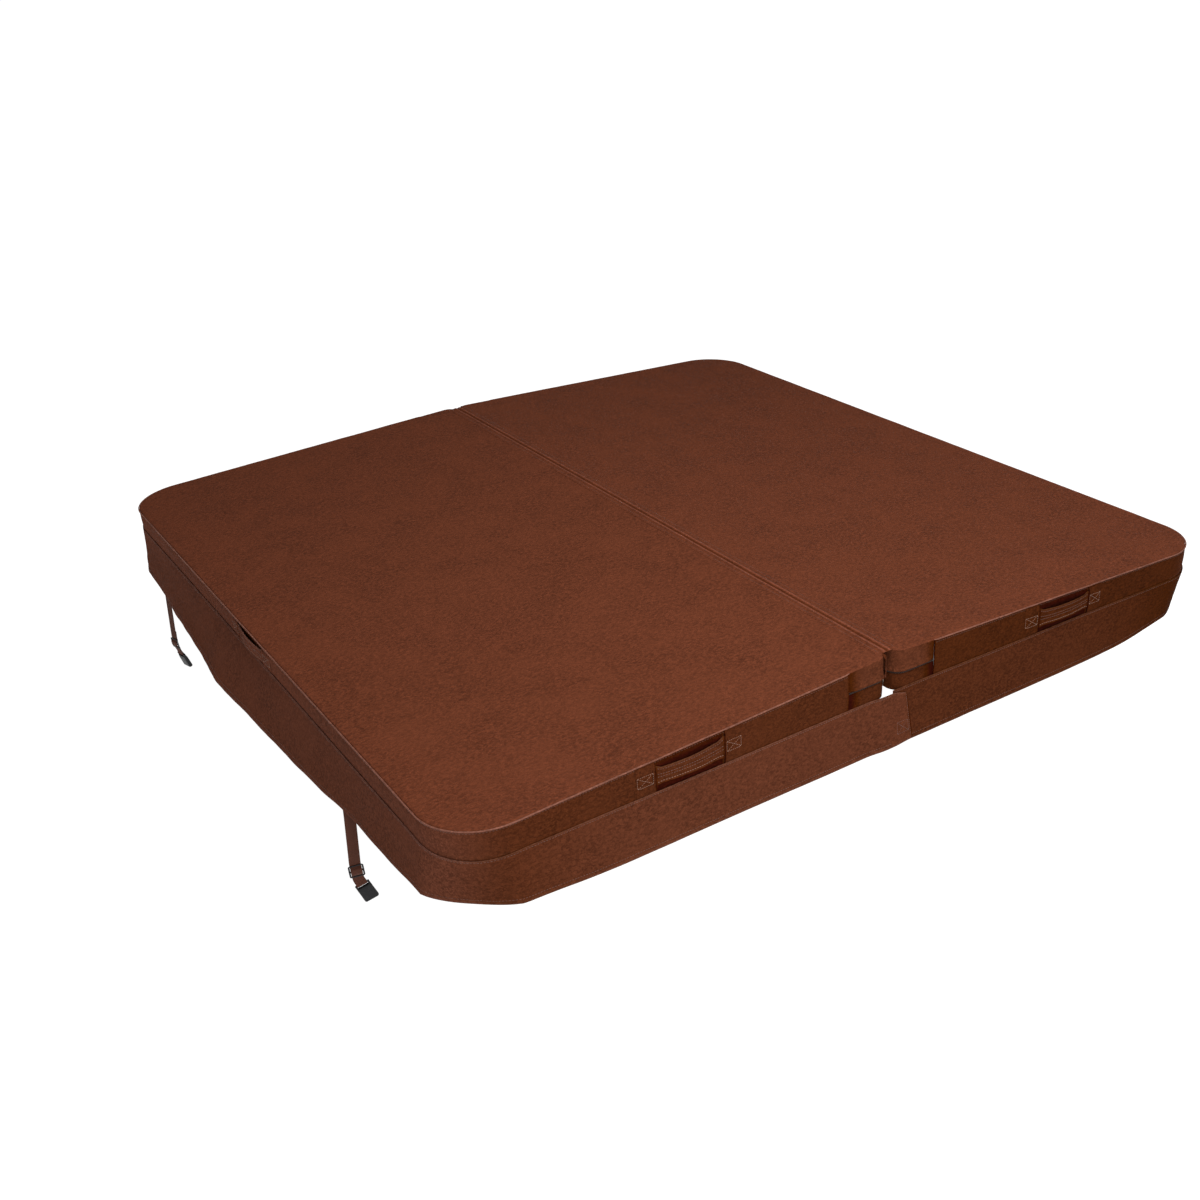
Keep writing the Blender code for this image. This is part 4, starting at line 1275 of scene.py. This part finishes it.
def slab_rings(inset, z_low, drop, radius, seed, wrinkle):
    """Rings round a rounded slab that fills the outline, from its underside to its top."""
    path = [outer_at(s) for s in spaced(SEAM_X, OUTER - SEAM_X, 0.03)]
    path += [fold_at(t) for t in spaced(0, FOLD_TOTAL, 0.01)[1:-1]
             if not FOLD_RUN + FOLD_BEND + 0.02 < t < FOLD_TOTAL - FOLD_RUN - FOLD_BEND - 0.02]
    levels = []
    for i in range(5):
        a = math.pi / 2 * i / 4
        levels.append((inset + radius * (1 - math.sin(a)), 0, radius * (1 - math.cos(a))))
    for i in range(5):
        a = math.pi / 2 * i / 4
        levels.append((inset + radius * (1 - math.cos(a)), 1, -radius * (1 - math.sin(a))))
    rings = []
    for level, (pull, upper, shift) in enumerate(levels):
        ring = []
        for k, ((x, y), (nx, ny)) in enumerate(path):
            px, py = x - nx * pull, y - ny * pull
            z = (top_z(px) - drop if upper else z_low) + shift
            ring.append((px, py, z + wrinkle * wavy(k * 0.03, level * 0.01, 0.05, seed)))
        rings.append(ring)
    return rings


def filling(half):
    foam = loft("foam", slab_rings(CORE_IN, CORE_IN, CORE_IN, 0.004, 1.0, 0.0))
    half_piece(half, "foam", foam, "foam", "foam_core")
    film = loft("film", slab_rings(LINING, LINING, LINING, 0.0025, 2.0, 0.0001))
    half_piece(half, "film", film, "film", "vapour_film")
    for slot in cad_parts[f"{half}_edge_channel"].material_slots:
        slot.material = LOOKS["steel"]


# ---------------------------------------------------------------- hard pieces

def applied(made):
    """The object's mesh with its modifiers applied."""
    bpy.context.view_layer.update()
    evaluated = made.evaluated_get(bpy.context.evaluated_depsgraph_get())
    mesh = bpy.data.meshes.new_from_object(evaluated)
    bpy.data.objects.remove(made, do_unlink=True)
    return mesh


def rounded_ring(width, depth, radius, steps=5):
    """Points round a rounded rectangle about the origin."""
    ring = []
    for cx, cy, start in ((1, 1, 0), (-1, 1, 90), (-1, -1, 180), (1, -1, 270)):
        for i in range(steps + 1):
            a = math.radians(start + 90 * i / steps)
            ring.append((cx * (width / 2 - radius) + radius * math.cos(a),
                         cy * (depth / 2 - radius) + radius * math.sin(a)))
    return ring


def cut(base, tools, bevel, segments=2):
    """base with each (operation, mesh) of tools done to it, then softened edges."""
    holder = add_object("cut", base)
    made = []
    for operation, mesh in tools:
        tool = add_object("tool", mesh)
        made.append(tool)
        step = holder.modifiers.new(operation, "BOOLEAN")
        step.operation = operation
        step.solver = "EXACT"
        step.object = tool
    soft = holder.modifiers.new("soft", "BEVEL")
    soft.width = bevel
    soft.segments = segments
    soft.limit_method = "ANGLE"
    soft.angle_limit = math.radians(38)
    soft.harden_normals = False
    mesh = applied(holder)
    for tool in made:
        bpy.data.objects.remove(tool, do_unlink=True)
    mesh.shade_smooth()
    mesh.set_sharp_from_angle(angle=math.radians(42))
    return mesh


def prism(name, ring, z0, z1):
    """A straight prism over a ring of (x, y)."""
    return loft(name, [[(x, y, z) for x, y in ring] for z in (z0, z1)])


def web_centre_line():
    """(outward, height) points of the plumb webbing, as in the CAD model."""
    z = ADJUSTER_Z
    front = RAIL_N + RAIL_T / 2 + GAP + WEB_T / 2
    bump = front + WEB_T + GAP
    back = -WEB_T - GAP
    down = [(0, 0), (0, z + 0.0220), (0, z + 0.0125), (bump, z + 0.0060), (bump, z - 0.0060),
            (0, z - 0.0125)]
    down += [(0, -length) for length, _ in STRAP_LEAN["a"][-3:]]
    radius = BUCKLE_BAR_R * math.sqrt(2) + GAP + WEB_T / 2
    turn = []
    for i in range(9):
        a = math.pi * i / 8
        turn.append((BUCKLE_N + radius * math.cos(a), BAR_Z - radius * math.sin(a)))
    up = [(back, -length) for length, _ in reversed(STRAP_LEAN["a"][-3:])]
    up += [(back, z - 0.0110), (front, z - 0.0045), (front, z + 0.0045), (back, z + 0.0110),
           (back, z + 0.0220), (back, z + TAIL)]
    return down + turn + up


def lean_at(letter, length):
    """The strap's lean at a length down the webbing."""
    points = STRAP_LEAN[letter]
    for (a, lean_a), (b, lean_b) in zip(points, points[1:]):
        if length < b:
            return lean_a + (lean_b - lean_a) * max(0.0, (length - a) / (b - a))
    return points[-1][1]


LEAN_STEP = 0.0005


def backbone(letter):
    """(sideways, height) points down the leaning strap, one a step."""
    line = [(0.0, 0.0)]
    for i in range(int(0.45 / LEAN_STEP)):
        lean = lean_at(letter, (i + 0.5) * LEAN_STEP)
        side, down = line[-1]
        line.append((side + math.sin(lean) * LEAN_STEP, down - math.cos(lean) * LEAN_STEP))
    return line


def hung(point, letter, line):
    """A point of the plumb strap, moved to the turned and leaning one, as in the CAD model."""
    x, y, z = point
    length = max(-z, 0.0)
    k = min(int(length / LEAN_STEP), len(line) - 2)
    part = length / LEAN_STEP - k
    side = line[k][0] + (line[k + 1][0] - line[k][0]) * part
    down = line[k][1] + (line[k + 1][1] - line[k][1]) * part
    lean = lean_at(letter, length)
    across = x if LEAN_FLAT[letter] else y
    leaning = side + across * math.cos(lean)
    x, y = (leaning, y) if LEAN_FLAT[letter] else (x, leaning)
    turn = STRAP_TURN[letter] * smooth((length - TURN_FROM) / (TURN_TO - TURN_FROM))
    return Vector((x * math.cos(turn) - y * math.sin(turn), x * math.sin(turn) + y * math.cos(turn),
                   down + across * math.sin(lean)))


def strap_top(half, letter):
    """Where the strap leaves the panel, on the left half's pattern."""
    return Vector((-STRAP_X, STRAP_YS[half][letter], STRAP_Z))


def strap_piece(half, kind, letter, mesh, look="black_plastic"):
    """A piece of the plumb strap, hung in its place and riding on the strap's body."""
    line = backbone(letter)
    place = strap_top(half, letter)
    for vertex in mesh.vertices:
        vertex.co = hung(vertex.co, letter, line) + place
    return half_piece(half, f"{kind}_{letter}", mesh, look, f"strap_{kind}_{letter}",
                      f"strap_{letter}")


def refined(line, longest):
    """The line with extra points, so that no step is longer than longest."""
    fine = [line[0]]
    for a, b in zip(line, line[1:]):
        count = max(1, math.ceil(math.dist(a, b) / longest))
        for k in range(1, count + 1):
            fine.append((a[0] + (b[0] - a[0]) * k / count, a[1] + (b[1] - a[1]) * k / count))
    return fine


def rounded_line(line):
    """The line with its bends eased, its ends kept."""
    eased = [tuple(0.25 * a[i] + 0.5 * b[i] + 0.25 * c[i] for i in (0, 1))
             for a, b, c in zip(line, line[1:], line[2:])]
    return [line[0], *eased, line[-1]]


def ribbon(line, half_width, thickness):
    """Rings of a woven ribbon with soft edges along an (outward, height) line."""
    line = [Vector(p) for p in line]
    rings = []
    for i, p in enumerate(line):
        before = line[max(i - 1, 0)]
        after = line[min(i + 1, len(line) - 1)]
        d = (after - before).normalized()
        normal = Vector((-d.y, d.x))
        ring = []
        for y, out in ribbon_section(half_width, thickness):
            q = p + normal * out
            ring.append((-q.x, y, q.y))
        rings.append(ring)
    return rings


def ribbon_section(half_width, thickness):
    """(across, out) points round the webbing: nine shallow ribs on each face."""
    ribs = 9
    top = []
    for i in range(4 * ribs + 1):
        t = i / (4 * ribs)
        y = -half_width + 2 * half_width * t
        rib = 0.5 - 0.5 * math.cos(math.tau * ribs * t)
        edge = math.sqrt(max(0.0, 1 - max(0.0, abs(2 * t - 1) - 0.92) ** 2 / 0.08 ** 2))
        top.append((y, thickness / 2 * (0.84 + 0.16 * rib) * (0.25 + 0.75 * edge)))
    return top + [(y, -out) for y, out in reversed(top)]


def strap_webbing(half, letter):
    """The webbing of one tie-down, down through the adjuster, round the buckle's bar and back."""
    line = rounded_line(refined(web_centre_line(), 0.0016))
    mesh = loft("webbing", ribbon(line, WEB_WIDTH / 2, WEB_T), sharp=60)
    made = strap_piece(half, "webbing", letter, mesh, "webbing")
    turn = Matrix.Rotation(HALVES[half], 4, "Z")
    place = strap_top(half, letter)
    down = backbone(letter)
    path = [tuple(turn @ (hung((-n, 0, z), letter, down) + place)) for n, z in line]
    length = sum(math.dist(a, b) for a, b in zip(path, path[1:]))
    return made, path, length


def strap_adjuster(half, letter):
    """The tri-glide: a rounded frame with two slots and a bar between them."""
    width, height = ADJUSTER_SIZE
    frame_mesh = prism("adjuster", rounded_ring(width, height, 0.004), -RAIL_T / 2, RAIL_T / 2)
    near, far = SLOT_SPAN
    slot = rounded_ring(SLOT_WIDTH, far - near, 0.0012, 3)
    tools = []
    for centre in ((near + far) / 2, -(near + far) / 2):
        hole = [(x, y + centre) for x, y in slot]
        tools.append(("DIFFERENCE", prism("slot", hole, -0.01, 0.01)))
    mesh = cut(frame_mesh, tools, 0.00045, 3)
    stand = Matrix(((0, 0, 1, 0), (1, 0, 0, 0), (0, 1, 0, 0), (0, 0, 0, 1)))
    mesh.transform(Matrix.Translation((-RAIL_N, 0, ADJUSTER_Z)) @ stand)
    return strap_piece(half, "adjuster", letter, mesh)


def strap_buckle(half, letter):
    """The socket half of a side-release buckle: waisted body, side windows, bar and mouth."""
    width, depth, length = BUCKLE_SIZE
    top = BAR_Z - BUCKLE_BAR_R - BUCKLE_SLOT
    mouth = top - length
    rings = []
    stations = [(mouth, 0.955, 0.90), (mouth + 0.0008, 0.985, 0.97), (mouth + 0.003, 1.0, 1.0),
                (mouth + 0.010, 1.0, 1.0), (mouth + 0.020, 0.985, 0.985),
                (mouth + 0.030, 0.985, 0.95), (top - 0.004, 0.99, 0.88), (top - 0.0008, 0.97, 0.76),
                (top, 0.95, 0.70)]
    for z, wide, deep in stations:
        rings.append([(x, y, z) for x, y in rounded_ring(width * wide, depth * deep,
                                                         depth * deep * 0.40)])
    body = loft("buckle", rings)
    head = prism("head", rounded_ring(width * 0.985, 0.0060, 0.0022), top - 0.003,
                 BAR_Z + BUCKLE_BAR_R)
    slot_width = WEB_WIDTH + 0.0014
    slot = prism("slot", rounded_ring(slot_width, 0.03, 0.0010, 3), top, BAR_Z - BUCKLE_BAR_R)
    tools = [("UNION", head), ("DIFFERENCE", slot)]
    for side in (-1, 1):
        relief = rounded_ring(slot_width, 0.01, 0.0008, 3)
        relief = [(x, y + side * (0.005 + BUCKLE_BAR_R)) for x, y in relief]
        tools.append(("DIFFERENCE", prism("relief", relief, BAR_Z - BUCKLE_BAR_R - 0.0005,
                                          BAR_Z + 0.01)))
    cavity_wide = width - 2 * BUCKLE_WALL
    cavity_deep = depth - 2 * 0.0020
    tools.append(("DIFFERENCE", prism("cavity", rounded_ring(cavity_wide, cavity_deep, 0.0012, 3),
                                      mouth - 0.001, top - BUCKLE_FLOOR)))
    window = rounded_ring(0.016, cavity_deep - 0.001, 0.0015, 3)
    window_mesh = loft("window", [[(x, y, z + mouth + 0.018) for z, y in window]
                                  for x in (-width, width)])
    tools.append(("DIFFERENCE", window_mesh))
    mesh = cut(body, tools, 0.0004)
    turn = Matrix.Rotation(math.pi / 2, 4, "Z")
    mesh.transform(Matrix.Translation((-BUCKLE_N, 0, 0)) @ turn)
    return strap_piece(half, "buckle", letter, mesh)


def straps():
    for half in HALVES:
        turn = Matrix.Rotation(HALVES[half], 4, "Z")
        for letter in STRAP_YS[half]:
            webbing, path, length = strap_webbing(half, letter)
            adjuster = strap_adjuster(half, letter)
            buckle = strap_buckle(half, letter)
            exit_point = tuple(turn @ strap_top(half, letter))
            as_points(path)


def zip_hardware(half):
    """Slider with its bridge and peg, and the tab that hangs from it."""
    x0 = -FOLD_GAP / 2 + GAP
    sx, sy, sz = SLIDER_SIZE
    centre = Matrix.Translation((x0, SLIDER_Y, SLIDER_Z))
    lie = Matrix.Rotation(math.pi / 2, 4, "Y")
    plate = prism("slider", rounded_ring(sz, sy, 0.0024), 0.0, 0.0016)
    bridge = prism("bridge", rounded_ring(0.0034, sy * 0.8, 0.0014), 0.0012, sx)
    peg = prism("peg", rounded_ring(2 * PEG_R, 2 * PEG_R, PEG_R * 0.98), sx - 0.001,
                sx + PEG_LENGTH)
    mesh = cut(plate, [("UNION", bridge), ("UNION", peg)], 0.0003)
    mesh.transform(centre @ lie)
    half_piece(half, "slider", mesh, "zip_metal", "zip_slider", "zip_slider")
    tab = []
    for z, wide in ((-0.026, 0.60), (-0.0252, 0.84), (-0.022, 1.0), (-0.010, 0.92), (-0.004, 0.80),
                    (0.0, 0.86), (0.0025, 0.76), (0.0036, 0.5), (0.004, 0.3)):
        tab.append([(x, y, z) for x, y in rounded_ring(PULL_T, PULL_WIDTH * wide, 0.0004, 3)])
    hole = prism("hole", rounded_ring(2 * PULL_HOLE_R, 2 * PULL_HOLE_R, PULL_HOLE_R * 0.98),
                 -0.01, 0.01)
    hole.transform(lie)
    window = prism("window", rounded_ring(0.011, 0.0032, 0.0014), -0.01, 0.01)
    window.transform(Matrix.Translation((0, 0, -0.0165)) @ lie)
    mesh = cut(loft("pull", tab), [("DIFFERENCE", hole), ("DIFFERENCE", window)], 0.0002)
    mesh.transform(Matrix.Translation((x0 + sx + GAP + PULL_T / 2, SLIDER_Y, SLIDER_Z)))
    half_piece(half, "pull", mesh, "zip_metal", "zip_pull", "zip_pull")


# ---------------------------------------------------------------- stitching of a half

def panel_stitching(side, hanging):
    """Rows under the welt and along the skirt's two edges."""
    seam = Seam()
    seam.row(side, (SEAM_X + 0.004, 0.92), (OUTER - SEAM_X - 0.004, 0.92))
    seam.row(hanging, (0.004, 0.965), (OUTER - TUCK_X - 0.004, 0.965))
    seam.row(hanging, (0.004, 0.085), (OUTER - TUCK_X - 0.004, 0.085))
    return seam


def flap_stitching(hanging):
    """The flap's end row and the crossed square that holds its hook tape."""
    seam = Seam()
    seam.row(hanging, (-0.046, 0.03), (-0.046, 0.97), 0.045)
    seam.crossed_box(hanging, (-0.042, -0.012), (-SKIRT_DROP, SKIRT_TOP), HOOK_STITCHES)
    return seam


def make_half(half):
    top_skin(half)
    bottom_skin(half)
    side = boxing(half)
    zip_bands(half)
    zip_tape(half)
    piping(half)
    hanging = skirt(half)
    flap_patches(half)
    filling(half)
    zip_hardware(half)
    half_piece(half, "stitching", panel_stitching(side, hanging).mesh("stitching"), "dark_thread")
    half_piece(half, "flap_stitching", flap_stitching(hanging).mesh("flap_stitching"),
               "dark_thread")
    hinge_tail(half)
    for kind in HANDLE_CENTRES:
        handle(half, kind)


def main():
    camera()
    make_looks()
    studio()
    straps()
    for half in HALVES:
        make_half(half)
    hinge()


main()
